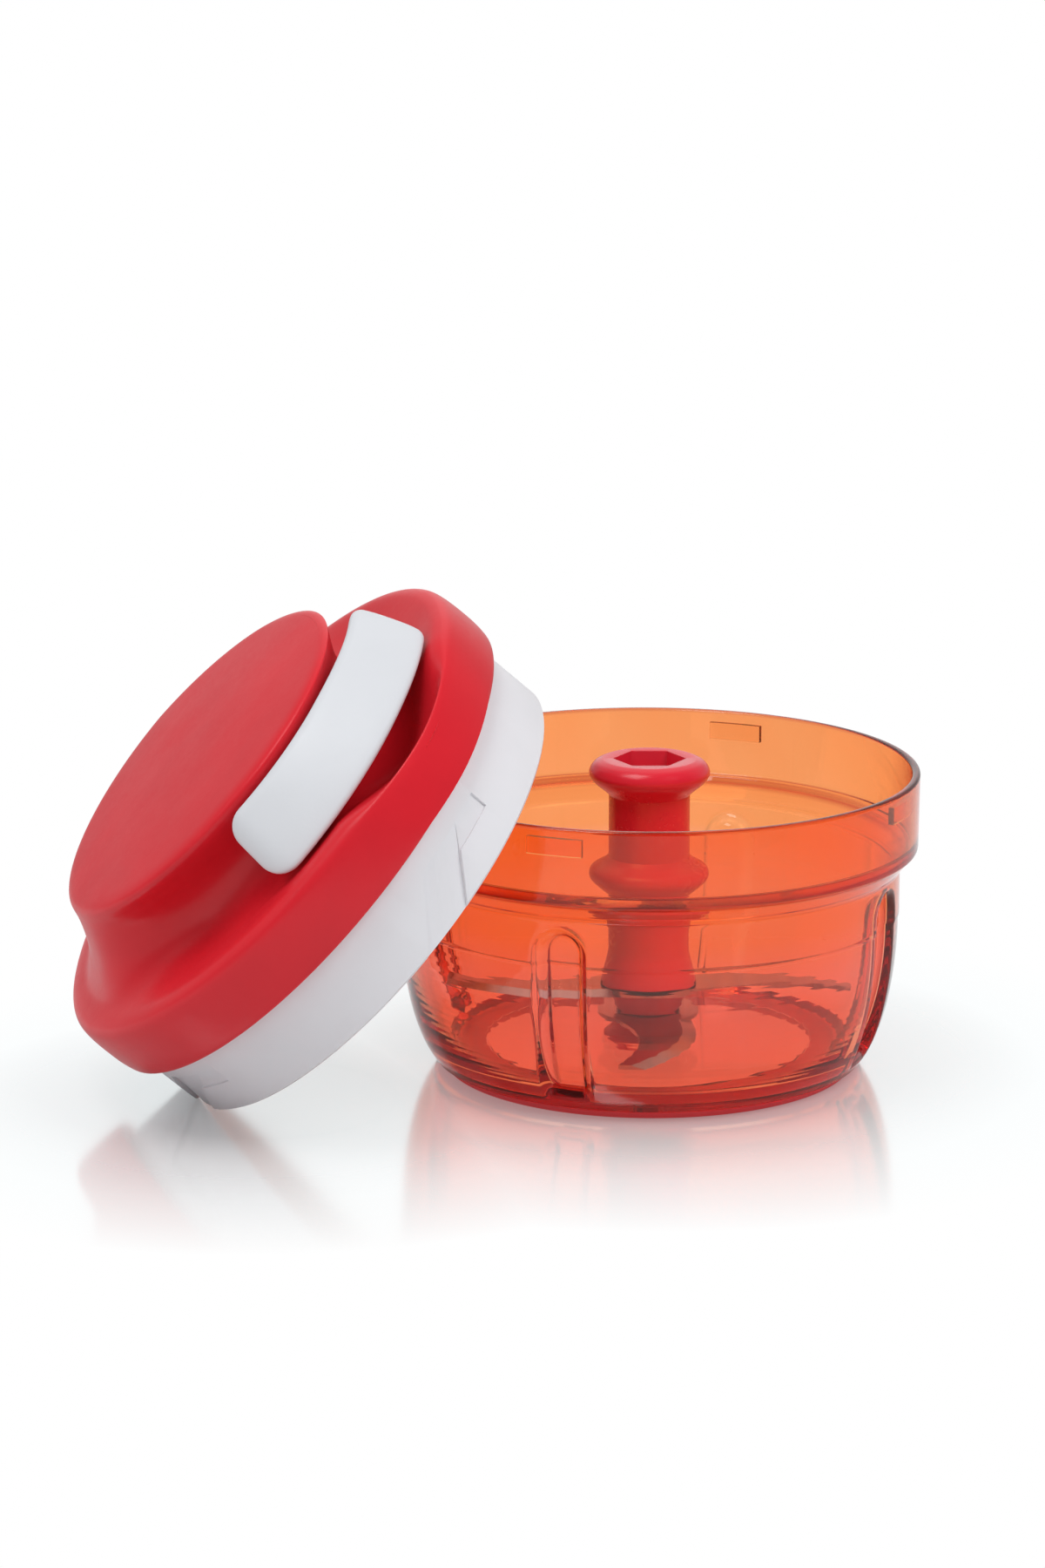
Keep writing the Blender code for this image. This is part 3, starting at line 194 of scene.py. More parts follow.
# The handle's upper end runs straighter than the circle of its groove, and is cut on a slant
UPPER_END = (5.0, 40.0)
UPPER_END_OUT = (1.5, 4.0)
UPPER_END_SLANT = 7.0
HANDLE_STEPS = 56
HANDLE_END_STEPS = 10
HANDLE_END_ROUND = 5.5
HANDLE_HALF_WIDTH = 8.5
POCKET_RADIUS = 5.0
POCKET_DEPTH = 8.8
PULL_PLUG_RECESS = 1.8
PULL_PLUG_LENGTH = 2.4
KNOT_RADIUS = 2.2
KNOT_LENGTH = 3.4
KNOT_STRAND = 0.62
KNOT_STEPS = 96
KNOT_SWING = 0.35
KNOT_CORE = (0.9, 1.1, 0.9)

# Bowl's tints, as the share of red, green and blue that passes. Heights are in metres.
# Each level has two tints that mix in faint flows.
LOW_TINTS = ((1.0, 0.47, 0.48, 1.0), (1.0, 0.52, 0.53, 1.0))
HIGH_TINTS = ((1.0, 0.41, 0.17, 1.0), (1.0, 0.45, 0.20, 1.0))
TINT_CHANGE = (0.030, 0.043)  # heights between which the low tints turn into the high ones
# Painted shade: dark lines painted along the ledge and the top of the rim, where the clear wall looks dark.
EDGE_PAINTED_SHADE = (0.50, 0.06, 0.04, 1.0)
LEDGE_SHADE_LINE = (0.0531, 0.0012)  # middle and half width
RIM_SHADE_LINE = (0.0695, 0.0702)
RIM_SHADE_SHARE = 0.8
GRAZING_TINT = (0.42, 0.04, 0.03, 1.0)
GRAZING = (0.62, 0.95)  # from nearly face on to nearly edge on
DEPTH_TINT = (0.98, 0.80, 0.60, 1.0)
DEPTH_DENSITY = 560.0

# Studio, in metres
FLOOR_RINGS = (300.0, 1000.0, 4000.0, 9000.0)  # millimetres
FLOOR_SIDES = 96
FLOOR_COLOUR = (0.84, 0.84, 0.84, 1.0)
CONTACTS = (((0.0, 0.0, 0.0), 0.047), ((-0.088, -0.032, 0.0), 0.030))  # where the bowl and the cover stand
MIRROR_REACH = 0.080
MIRROR_SHARE = 0.56
MIRROR_COLOUR = (0.90, 0.97, 0.98, 1.0)
WHITE_REACH = 0.045
WHITE_SHARE = 0.42  # at the contacts, growing to 1 at the reach
WHITE_THROUGH = 0.94
FILL_COLOUR = (0.97, 0.98, 1.0, 1.0)
FILL_STRENGTH = 0.38
# Name, place, aim, size, watts, and whether reflections show it
LAMPS = (("key", (0.55, -0.45, 0.9), (-0.02, 0, 0.04), (0.5, 0.5), 5.2, False),
         ("top", (-0.32, -0.25, 0.95), (-0.03, 0, 0.04), (0.45, 0.45), 2.8, True),
         ("side", (-0.85, -0.22, 0.65), (-0.05, 0, 0.05), (0.5, 0.6), 2.0, False))
# The camera was fitted to the photograph, whose height is 1800 pixels
CAMERA_ELEVATION = 13.67
CAMERA_DISTANCE = 1.2
CAMERA_TARGET = (-0.02937, 0.0, 0.06617)
CAMERA_FOCAL = 5957.06  # pixels
PHOTO_HEIGHT = 1800.0
SENSOR = 36.0


# ---------------------------------------------------------------- materials

def linear(r, g, b):
    """A colour written as 0 to 255 on screen, as the linear values that shaders take."""
    out = []
    for v in (r, g, b):
        v /= 255.0
        out.append(v / 12.92 if v <= 0.04045 else ((v + 0.055) / 1.055) ** 2.4)
    return (*out, 1.0)


class Nodes:
    """Short ways to add nodes to a node tree."""

    def __init__(self, tree):
        self.tree = tree

    def node(self, kind, **values):
        made = self.tree.nodes.new(kind)
        for key, value in values.items():
            if key in made.inputs:
                made.inputs[key].default_value = value
            else:
                setattr(made, key, value)
        return made

    def link(self, a, b):
        self.tree.links.new(a, b)

    def fill(self, slots, sources):
        """Give each slot its number or colour, or the output that drives it."""
        for slot, source in zip(slots, sources):
            if isinstance(source, bpy.types.NodeSocket):
                self.link(source, slot)
            elif source is not None:
                slot.default_value = source

    def remap(self, value, low, high, to_low, to_high):
        made = self.node("ShaderNodeMapRange")
        slots = [made.inputs[key] for key in ("Value", "From Min", "From Max", "To Min", "To Max")]
        self.fill(slots, (value, low, high, to_low, to_high))
        return made.outputs["Result"]

    def maths(self, operation, a, b=None):
        made = self.node("ShaderNodeMath", operation=operation)
        self.fill(made.inputs, (a, b))
        return made.outputs[0]

    def axes(self, place):
        made = self.node("ShaderNodeSeparateXYZ")
        self.link(place, made.inputs[0])
        return made.outputs

    def mix(self, share, a, b):
        """Two colours mixed by a share."""
        made = self.node("ShaderNodeMix", data_type="RGBA")
        self.fill([made.inputs[key] for key in ("Factor", "A", "B")], (share, a, b))
        return made.outputs["Result"]

    def mix_shaders(self, share, a, b):
        made = self.node("ShaderNodeMixShader")
        self.fill(made.inputs, (share, a, b))
        return made.outputs[0]


class Shader(Nodes):
    """A material with a Principled shader."""

    def __init__(self, name):
        self.material = bpy.data.materials.new(name)
        self.material.use_nodes = True
        super().__init__(self.material.node_tree)
        self.main = self.tree.nodes["Principled BSDF"]
        self.output = self.tree.nodes["Material Output"]
        self.place = self.node("ShaderNodeTexCoord").outputs["Object"]

    def noise(self, scale, detail=3.0, roughness=0.5, distortion=0.0):
        made = self.node("ShaderNodeTexNoise", Scale=scale, Detail=detail, Roughness=roughness,
                         Distortion=distortion)
        self.link(self.place, made.inputs["Vector"])
        return made.outputs["Fac"]

    def ramp(self, value, stops):
        made = self.node("ShaderNodeValToRGB")
        ramp = made.color_ramp
        while len(ramp.elements) < len(stops):
            ramp.elements.new(0.5)
        for element, (at, colour) in zip(ramp.elements, stops):
            element.position = at
            element.color = colour
        self.link(value, made.inputs["Fac"])
        return made.outputs["Color"]

    def bump(self, height, strength, distance):
        made = self.node("ShaderNodeBump", Strength=strength, Distance=distance)
        self.link(height, made.inputs["Height"])
        self.link(made.outputs["Normal"], self.main.inputs["Normal"])

    def drive(self, **sources):
        for key, source in sources.items():
            self.link(source, self.main.inputs[key.replace("_", " ")])

    def set(self, **values):
        for key, value in values.items():
            self.main.inputs[key.replace("_", " ")].default_value = value


def moulded(name, colour, spread, roughness, grain=0.05, fine=900.0, **values):
    """Moulded plastic: faint flow tints, a fine satin grain and uneven gloss."""
    s = Shader(name)
    darker = tuple(c * (1.0 - spread) for c in colour[:3]) + (1.0,)
    lighter = tuple(min(1.0, c * (1.0 + spread)) for c in colour[:3]) + (1.0,)
    flow = s.noise(28.0, 4.0, 0.55, 0.6)
    grain_noise = s.noise(fine, 2.0, 0.6)
    wear = s.noise(60.0, 5.0, 0.6)
    mixed = s.maths("ADD", s.maths("MULTIPLY", wear, 0.7), s.maths("MULTIPLY", grain_noise, 0.3))
    s.drive(Base_Color=s.ramp(flow, [(0.30, darker), (0.50, colour), (0.72, lighter)]),
            Roughness=s.remap(mixed, 0.3, 0.7, roughness * 0.85, roughness * 1.15))
    s.bump(grain_noise, grain, 0.0002)
    s.set(**values)
    return s.material


def clear_plastic():
    """Clear plastic, tinted at its surface and in its depth. It is redder low down, has painted shade along
    the rim and the ledge, and is darker where the wall is seen edge on."""
    s = Shader("clear_orange")
    flow = s.noise(22.0, 3.0, 0.5, 0.8)
    height = s.axes(s.place)["Z"]
    low, high = (s.ramp(flow, list(zip((0.3, 0.7), tints))) for tints in (LOW_TINTS, HIGH_TINTS))
    tint = s.mix(s.remap(height, *TINT_CHANGE, 0.0, 1.0), low, high)
    # Painted shade: the ledge and the top of the rim are painted darker.
    middle, half = LEDGE_SHADE_LINE
    ledge = s.remap(s.maths("ABSOLUTE", s.maths("SUBTRACT", height, middle)), 0.0, half, 1.0, 0.0)
    rim = s.remap(height, *RIM_SHADE_LINE, 0.0, RIM_SHADE_SHARE)
    tint = s.mix(s.maths("MAXIMUM", ledge, rim), tint, EDGE_PAINTED_SHADE)
    facing = s.node("ShaderNodeLayerWeight", Blend=0.5).outputs["Facing"]
    tint = s.mix(s.remap(facing, *GRAZING, 0.0, 1.0), tint, GRAZING_TINT)
    s.drive(Base_Color=tint, Roughness=s.remap(s.noise(90.0, 5.0, 0.6), 0.3, 0.7, 0.0, 0.02))
    s.set(Transmission_Weight=0.98, IOR=1.45, Specular_IOR_Level=0.28)
    depth = s.node("ShaderNodeVolumeAbsorption", Color=DEPTH_TINT, Density=DEPTH_DENSITY)
    s.link(depth.outputs["Volume"], s.output.inputs["Volume"])
    return s.material


def steel(name, roughness, streak, anisotropic=0.4):
    """Ground steel with fine streaks."""
    s = Shader(name)
    stretched = s.node("ShaderNodeMapping")
    stretched.inputs["Scale"].default_value = streak
    s.link(s.place, stretched.inputs["Vector"])
    lines = s.node("ShaderNodeTexNoise", Scale=60.0, Detail=4.0, Roughness=0.6)
    s.link(stretched.outputs["Vector"], lines.inputs["Vector"])
    streaks = lines.outputs["Fac"]
    s.drive(Base_Color=s.ramp(streaks, [(0.3, (0.42, 0.42, 0.43, 1.0)), (0.7, (0.60, 0.60, 0.61, 1.0))]),
            Roughness=s.remap(streaks, 0.3, 0.7, roughness * 0.7, roughness * 1.4))
    s.bump(streaks, 0.05, 0.0001)
    s.set(Metallic=1.0, Anisotropic=anisotropic)
    return s.material


def braided_cord():
    """White braided cord: two sets of strands crossing round it, with painted shade in the gaps between
    them.
    """
    s = Shader("cord_braid")
    waves = []
    for lean in (1.0, -1.0):
        turned_to = s.node("ShaderNodeMapping")
        turned_to.inputs["Rotation"].default_value = (0.5, 0.7 * lean, 0.8 * lean)
        s.link(s.place, turned_to.inputs["Vector"])
        wave = s.node("ShaderNodeTexWave", Scale=650.0, Distortion=0.6, Detail=1.0)
        s.link(turned_to.outputs["Vector"], wave.inputs["Vector"])
        waves.append(wave.outputs["Fac"])
    braid = s.maths("MAXIMUM", *waves)
    # The gaps between strands are painted darker: painted shade.
    s.drive(Base_Color=s.ramp(braid, [(0.15, linear(196, 194, 188)), (0.7, linear(236, 235, 230))]),
            Roughness=s.remap(braid, 0.0, 1.0, 0.85, 0.65))
    s.bump(braid, 0.6, 0.0003)
    s.set(Sheen_Weight=0.2)
    return s.material


CLEAR = clear_plastic()
# Besides its name, each has its colour, the spread of its tints, roughness, grain and fineness
COVER_RED = moulded("cover_red_satin", linear(217, 31, 44), 0.05, 0.36, 0.05, Specular_IOR_Level=0.33)
SHAFT_RED = moulded("shaft_red_gloss", linear(226, 34, 54), 0.06, 0.26, 0.03)
# The foot has a faint painted glow, standing in for the light that reaches it through the clear base
FOOT_RED_GLOW = moulded("foot_red_rubber", linear(206, 26, 40), 0.08, 0.55, 0.15, 1400.0,
                   Emission_Color=(1.0, 0.12, 0.13, 1.0), Emission_Strength=0.16)
WHITE = moulded("white_satin", linear(234, 234, 238), 0.02, 0.36, 0.06)
GRIP_WHITE = moulded("grip_white_satin", linear(214, 216, 220), 0.02, 0.42, 0.10, 1100.0)
NYLON = moulded("nylon_natural", linear(226, 224, 214), 0.04, 0.48, 0.08)
STEEL = steel("steel_plain", 0.22, (1.0, 1.0, 8.0))
BLADE_STEEL = steel("blade_steel", 0.20, (6.0, 1.0, 1.0), 0.6)
CORD = braided_cord()


# ---------------------------------------------------------------- mesh helpers

def smoothstep(low, high, value):
    t = min(1.0, max(0.0, (value - low) / (high - low)))
    return t * t * (3.0 - 2.0 * t)


def polar(radius, angle, height):
    a = math.radians(angle)
    return Vector((radius * math.cos(a), radius * math.sin(a), height))


def eased(points, parts, closed=False):
    """Add points between those of an outline, on a smooth curve through them."""
    count = len(points)
    out = []
    for i in range(count if closed else count - 1):
        around = [points[(i + k) % count] if closed else points[min(max(i + k, 0), count - 1)]
                  for k in (-1, 0, 1, 2)]
        p0, p1, p2, p3 = (Vector(p) for p in around)
        chord = (p2 - p1).length
        m1 = (p2 - p0) * (chord / max(1e-6, (p1 - p0).length + chord)) if p0 != p1 else p2 - p1
        m2 = (p3 - p1) * (chord / max(1e-6, (p3 - p2).length + chord)) if p3 != p2 else p2 - p1
        for k in range(parts):
            t = k / parts
            h = (2 * t**3 - 3 * t**2 + 1, t**3 - 2 * t**2 + t, -2 * t**3 + 3 * t**2, t**3 - t**2)
            out.append(tuple(p1 * h[0] + m1 * h[1] + p2 * h[2] + m2 * h[3]))
    if not closed:
        out.append(tuple(points[-1]))
    return out


def held(points, near=0.12, long=1.0):
    """Add a point close to each end of the long straight runs, so that shading stays flat on them."""
    out = [points[0]]
    for a, b in zip(points, points[1:]):
        a, b = Vector(a), Vector(b)
        length = (b - a).length
        if length > long:
            out += [tuple(a.lerp(b, near / length)), tuple(a.lerp(b, 1 - near / length))]
        out.append(tuple(b))
    return out


def loft(rings, first_pole=None, last_pole=None, loop=False, caps=False):
    """A skin over rings of points, closed by poles, by caps or on itself."""
    bm = bmesh.new()
    rows = [[bm.verts.new(p) for p in ring] for ring in rings]
    count = len(rings[0])
    pairs = list(zip(rows, rows[1:]))
    if loop:
        pairs.append((rows[-1], rows[0]))
    for a, b in pairs:
        for i in range(count):
            j = (i + 1) % count
            bm.faces.new((a[i], a[j], b[j], b[i]))
    for pole, row in ((first_pole, rows[0]), (last_pole, rows[-1])):
        if pole is not None:
            tip = bm.verts.new(pole)
            for i in range(count):
                bm.faces.new((tip, row[i], row[(i + 1) % count]))
    if caps:
        bm.faces.new(rows[0])
        bm.faces.new(rows[-1])
    return bm


def turned(profile, segments, start=0.0):
    """Turn an outline of radii and heights about the axis."""
    angles = [start + 360.0 * i / segments for i in range(segments)]
    on_axis = profile[0][0] == 0
    body = profile[1:-1] if on_axis else profile
    rings = [[polar(r, a, h) for a in angles] for r, h in body]
    if on_axis:
        return loft(rings, Vector((0, 0, profile[0][1])), Vector((0, 0, profile[-1][1])))
    return loft(rings, loop=True)


def rod(radius, bottom, top):
    return [(0, bottom), (radius, bottom), (radius, top), (0, top)]


def arc_points(radius, height, across, up, degrees):
    """Points of an arc about a middle, from its reach across and up."""
    return [(radius + across * math.cos(math.radians(a)), height + up * math.sin(math.radians(a)))
            for a in degrees]


def arc_block(inner, outer, start, end, bottom, top, steps=14, lean=0.0):
    """A curved block between two radii and two angles, its top turned by the lean."""
    rings = []
    for i in range(steps + 1):
        a = start + (end - start) * i / steps
        rings.append([polar(inner, a, bottom), polar(outer, a, bottom), polar(outer, a + lean, top),
                      polar(inner, a + lean, top)])
    return loft(rings, caps=True)


def prism(radius, sides, bottom, top):
    angles = [360.0 * i / sides for i in range(sides)]
    return loft([[polar(radius, a, h) for a in angles] for h in (bottom, top)], caps=True)


def moved(bm, matrix):
    bmesh.ops.transform(bm, matrix=matrix, verts=bm.verts)
    return bm


def sideways(height):
    """Turn a shape made along Z to lie along the pull direction at a height."""
    return Matrix.Translation((0, 0, height)) @ Matrix.Rotation(math.radians(90), 4, "Y")


def mesh_object(name, bm, finish, place=None):
    bmesh.ops.recalc_face_normals(bm, faces=bm.faces)
    bmesh.ops.scale(bm, vec=(MM, MM, MM), verts=bm.verts)
    mesh = bpy.data.meshes.new(name)
    bm.to_mesh(mesh)
    bm.free()
    if place:
        mesh.transform(place)
    mesh.materials.append(finish)
    obj = bpy.data.objects.new(name, mesh)
    bpy.context.scene.collection.objects.link(obj)
    return obj


def finish_mesh(obj, tools=(), sharp=32.0, bevel=0.0):
    """Cut or join the tools, apply it all and smooth the skin."""
    for tool, operation in tools:
        step = obj.modifiers.new("join", "BOOLEAN")
        step.operation = operation
        step.object = tool
        step.solver = "EXACT"
    if bevel:
        step = obj.modifiers.new("edge", "BEVEL")
        step.width = bevel * MM
        step.segments = 2
        step.limit_method = "ANGLE"
        step.angle_limit = math.radians(50)
    if obj.modifiers:
        bpy.context.view_layer.update()
        evaluated = obj.evaluated_get(bpy.context.evaluated_depsgraph_get())
        mesh = bpy.data.meshes.new_from_object(evaluated)
        mesh.name = obj.name
        obj.modifiers.clear()
        obj.data = mesh
    for tool, _ in tools:
        bpy.data.objects.remove(tool)
    obj.data.shade_smooth()
    obj.data.set_sharp_from_angle(angle=math.radians(sharp))
    return obj


def settle(obj, body, slot, *nodes):
    """Say what the piece rides on and the solids that it stands for; its material slot is not used."""
    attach(obj, body)
    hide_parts(*nodes)
    return obj


# ---------------------------------------------------------------- bowl

def flute_angles():
    return [FLUTE_FIRST + 360.0 / FLUTE_COUNT * i for i in range(FLUTE_COUNT)]


def flute_dent(angle, height):
    """How far a flute presses the wall in at a place on it."""
    nearest = min(flute_angles(), key=lambda f: abs((angle - f + 180.0) % 360.0 - 180.0))
    across = math.radians((angle - nearest + 180.0) % 360.0 - 180.0) * BODY_RADIUS
    above = max(0.0, height - (FLUTE_TOP - FLUTE_HALF_WIDTH))
    away = math.hypot(across, above)
    side = smoothstep(0.0, FLUTE_EDGE, FLUTE_HALF_WIDTH - away)
    return FLUTE_DEPTH * side * smoothstep(*FLUTE_FADE, height)


def bowl_angles():
    """Lines up the wall, close together over each flute."""
    across = [math.degrees(FLUTE_LINE_STEP * i / BODY_RADIUS) for i in range(FLUTE_LINES)]
    plain = 360.0 / FLUTE_COUNT - 2 * across[-1]
    angles = []
    for middle in flute_angles():
        angles += [middle - a for a in reversed(across)] + [middle + a for a in across[1:]]
        angles += [middle + across[-1] + plain * i / WALL_LINES for i in range(1, WALL_LINES)]
    return angles


def corner_points(radius, width, height, top, steps=26):
    """The round between floor and wall, a quarter of an ellipse."""
    points = []
    for i in range(1, steps + 1):
        a = math.radians(90.0 * i / steps)
        points.append((radius - width + width * math.sin(a), top - height * math.cos(a)))
    return points


def bowl_outside(base_radius, heights):
    low_radius = BODY_RADIUS - BODY_TAPER
    foot_top = FOOT_HEIGHT + GAP
    start_height = foot_top + 0.4
    start = base_radius + CORNER_WIDTH * math.sqrt(1 - (1 - start_height / CORNER_HEIGHT) ** 2)
    points = [(FOOT_INNER - GAP, BASE_RECESS), (FOOT_INNER - GAP, foot_top), (base_radius + 2.0, foot_top),
              (start - 0.15, start_height - 0.25), (start, start_height)]
    points += [p for p in corner_points(low_radius, CORNER_WIDTH, CORNER_HEIGHT, CORNER_HEIGHT)
               if p[1] > start_height]
    points += [(BODY_RADIUS - 0.05, h) for h in heights]
    low = COLLAR_RADIUS - COLLAR_DRAFT
    points += eased([(BODY_RADIUS, COLLAR_SLOPE_BOTTOM), (BODY_RADIUS + 1.0, COLLAR_SLOPE_BOTTOM + 1.3),
                     (low - 0.8, COLLAR_BOTTOM - 0.7), (low - 0.15, COLLAR_BOTTOM - 0.2),
                     (low, COLLAR_BOTTOM + 0.5)], 3)
    points += [(COLLAR_RADIUS, BOWL_HEIGHT - RIM_ROUND)]
    return points + arc_points(COLLAR_RADIUS - RIM_ROUND, BOWL_HEIGHT - RIM_ROUND, RIM_ROUND, RIM_ROUND,
                               ROUND_STEPS[1:])


def bowl_inside(heights):
    low = BODY_RADIUS - BODY_TAPER - BOWL_WALL
    high = BODY_RADIUS - BOWL_WALL
    points = arc_points(COLLAR_INNER + RIM_ROUND, BOWL_HEIGHT - RIM_ROUND, -RIM_ROUND, RIM_ROUND,
                        ROUND_STEPS[:0:-1])
    points += [(COLLAR_INNER, BOWL_HEIGHT - RIM_ROUND)]
    points += arc_points(COLLAR_INNER - LEDGE_FILLET, LEDGE_HEIGHT + LEDGE_FILLET, LEDGE_FILLET,
                         -LEDGE_FILLET, ROUND_STEPS)
    points += eased([(COLLAR_INNER - LEDGE_WIDTH + 0.3, LEDGE_HEIGHT),
                     (COLLAR_INNER - LEDGE_WIDTH, LEDGE_HEIGHT - 0.2),
                     (high + 0.3, COLLAR_SLOPE_BOTTOM + LEDGE_SLOPE_END + 0.5),
                     (high, COLLAR_SLOPE_BOTTOM + LEDGE_SLOPE_END - 0.5)], 4)
    points += [(high, COLLAR_SLOPE_BOTTOM)]
    points += [(high - 0.05, h) for h in reversed(heights)]
    points += reversed(corner_points(low, CORNER_WIDTH, CORNER_HEIGHT - FLOOR_TOP, CORNER_HEIGHT))
    return points + [(low - CORNER_WIDTH, FLOOR_TOP)]


def make_bowl():
    base_radius = BODY_RADIUS - BODY_TAPER - CORNER_WIDTH
    heights = [CORNER_HEIGHT + 0.5 * i for i in range(1, 22)]
    angles = bowl_angles()
    rings = [[polar(r - (flute_dent(a, h) if r > base_radius else 0.0), a, h) for a in angles]
             for r, h in held(bowl_outside(base_radius, heights) + bowl_inside(heights))]
    bowl = mesh_object("bowl_skin", loft(rings, Vector((0, 0, BASE_RECESS)), Vector((0, 0, FLOOR_TOP))),
                       CLEAR)
    middle = (BASE_RECESS + FLOOR_TOP) / 2
    pad = [(0, 0), (PAD_RADIUS - 0.2, 0), (PAD_RADIUS, 0.2), (PAD_RADIUS + 0.8, middle), (0, middle)]
    boss = [(0, middle), (BOSS_RADIUS, middle), (BOSS_RADIUS, BOSS_TOP - 0.3),
            (BOSS_RADIUS - 0.3, BOSS_TOP), (0, BOSS_TOP)]
    pin_hole = rod(PIN_RADIUS + GAP, PIN_BOTTOM - GAP, BOSS_TOP + 1.0)
    tools = [(mesh_object("pad", turned(pad, 64), CLEAR), "UNION"),
             (mesh_object("boss", turned(boss, 64), CLEAR), "UNION"),
             (mesh_object("pin", turned(pin_hole, 32), CLEAR), "DIFFERENCE")]
    half = math.degrees(LUG_WIDTH / 2 / COLLAR_INNER)
    for at in flute_angles():
        lug = arc_block(COLLAR_INNER - LUG_DEPTH, COLLAR_INNER + LUG_ROOT, at - half, at + half,
                        LUG_MIDDLE - LUG_HEIGHT / 2, LUG_MIDDLE + LUG_HEIGHT / 2)
        tools.append((mesh_object("lug", lug, CLEAR), "UNION"))
    finish_mesh(bowl, tools, 40.0)
    settle(bowl, "bowl", "orange_bowl", "bowl")


def make_foot():
    profile = [(FOOT_INNER, 0.2), (FOOT_INNER + 0.2, 0.0), (FOOT_OUTER - 1.4, 0.0), (FOOT_OUTER - 0.7, 0.2),
               (FOOT_OUTER - 0.2, 0.7), (FOOT_OUTER + 0.5, 1.4), (FOOT_OUTER + 0.9, FOOT_HEIGHT - 0.1),
               (FOOT_OUTER + 0.8, FOOT_HEIGHT), (FOOT_INNER, FOOT_HEIGHT)]
    foot = finish_mesh(mesh_object("foot_skin", turned(profile, 216), FOOT_RED_GLOW), (), 50.0)
    settle(foot, "bowl", "foot_rubber", "foot_ring")


# ---------------------------------------------------------------- blade unit

def make_shaft():
    bore = PIN_RADIUS + GAP + BUSH_WALL + GAP
    low, high = BLADE_LEVELS["blade_lower"][0], BLADE_LEVELS["blade_upper"][0]
    step = BLADE_THICKNESS + GAP
    bottom = FLOOR_TOP + GAP
    collar, top = MID_COLLAR_HEIGHT, SHAFT_TOP
    skirt = BOSS_RADIUS + GAP
    profile = [(0, SHAFT_BORE_TOP), (bore, SHAFT_BORE_TOP), (bore, BOSS_TOP + GAP), (skirt, BOSS_TOP + GAP),
               (skirt, bottom + 0.6), (skirt + 0.9, bottom), (HUB_RADIUS - 0.3, bottom),
               (HUB_RADIUS, bottom + 0.3)]
    profile += eased([(HUB_RADIUS, bottom + 1.0), (HUB_TOP_RADIUS + 0.7, low - 3.6),
                      (HUB_TOP_RADIUS, low - 2.0), (NECK_RADIUS + 0.6, low - GAP)], 3)
    profile += [(NECK_RADIUS, low - GAP), (NECK_RADIUS, low + step)]
    profile += [(NECK_RADIUS + 0.9, low + step), (COLUMN_RADIUS, high - GAP)]
    profile += [(NECK_RADIUS, high - GAP), (NECK_RADIUS, high + step)]
    profile += eased([(HUB_RADIUS + 0.8, high + step), (HUB_RADIUS + 0.4, high + step + 2.0),
                      (COLUMN_RADIUS + 0.2, high + 8.0), (COLUMN_RADIUS, high + 9.5),
                      (COLUMN_RADIUS, collar - 4.6)], 3)[:-1]
    profile += eased([(COLUMN_RADIUS, collar - 4.6), (COLUMN_RADIUS + 1.0, collar - 3.9),
                      (MID_COLLAR_RADIUS - 0.5, collar - 1.2), (MID_COLLAR_RADIUS, collar + 0.2),
                      (MID_COLLAR_RADIUS - 0.6, collar + 1.7), (COLUMN_RADIUS + 1.4, collar + 3.2),
                      (COLUMN_RADIUS, collar + 4.4)], 4)
    profile += eased([(COLUMN_RADIUS, top - 8.4), (COLUMN_RADIUS + 1.0, top - 7.4),
                      (TOP_FLANGE_RADIUS - 1.0, top - 5.2), (TOP_FLANGE_RADIUS, top - 3.5),
                      (TOP_FLANGE_RADIUS - 0.3, top - 2.1), (TOP_FLANGE_RADIUS - 1.4, top - 0.8),
                      (TOP_FLANGE_RADIUS - 3.2, top)], 4)
    profile += [(SHAFT_CORE_RADIUS, top), (SHAFT_CORE_RADIUS, SHAFT_CORE_BOTTOM), (0, SHAFT_CORE_BOTTOM)]
    profile = profile[:1] + held(profile[1:-1]) + profile[-1:]
    shaft = mesh_object("shaft_skin", turned(profile, 96), SHAFT_RED)
    socket = mesh_object("socket", prism(SOCKET_RADIUS, 6, SOCKET_BOTTOM, top + 1.0), SHAFT_RED)
    finish_mesh(shaft, [(socket, "DIFFERENCE")], 38.0, 0.35)
    settle(shaft, "blades", "shaft_red", "blade_shaft")


def wing_outline(tip_radius, turn, steps=28):
    """Cutting edge and back of one wing, from its root to its tip."""
    edge, back = [], []
    for i in range(steps + 1):
        t = i / steps
        radius = BLADE_ROOT_RADIUS - 2.0 + (tip_radius - BLADE_ROOT_RADIUS + 2.0) * t
        half = 0.5 * (BLADE_ROOT_WIDTH + (BLADE_TIP_WIDTH - BLADE_ROOT_WIDTH) * t ** 0.8)
        bow = BLADE_BOW * math.sin(math.pi * t)
        middle = turn - BLADE_SWEEP * t
        across = polar(1.0, middle + 90.0, 0.0)
        root = polar(radius, middle, 0.0)
        edge.append(root + across * (half + bow))
        back.append(root - across * (half - bow * 0.6))
    return edge, back


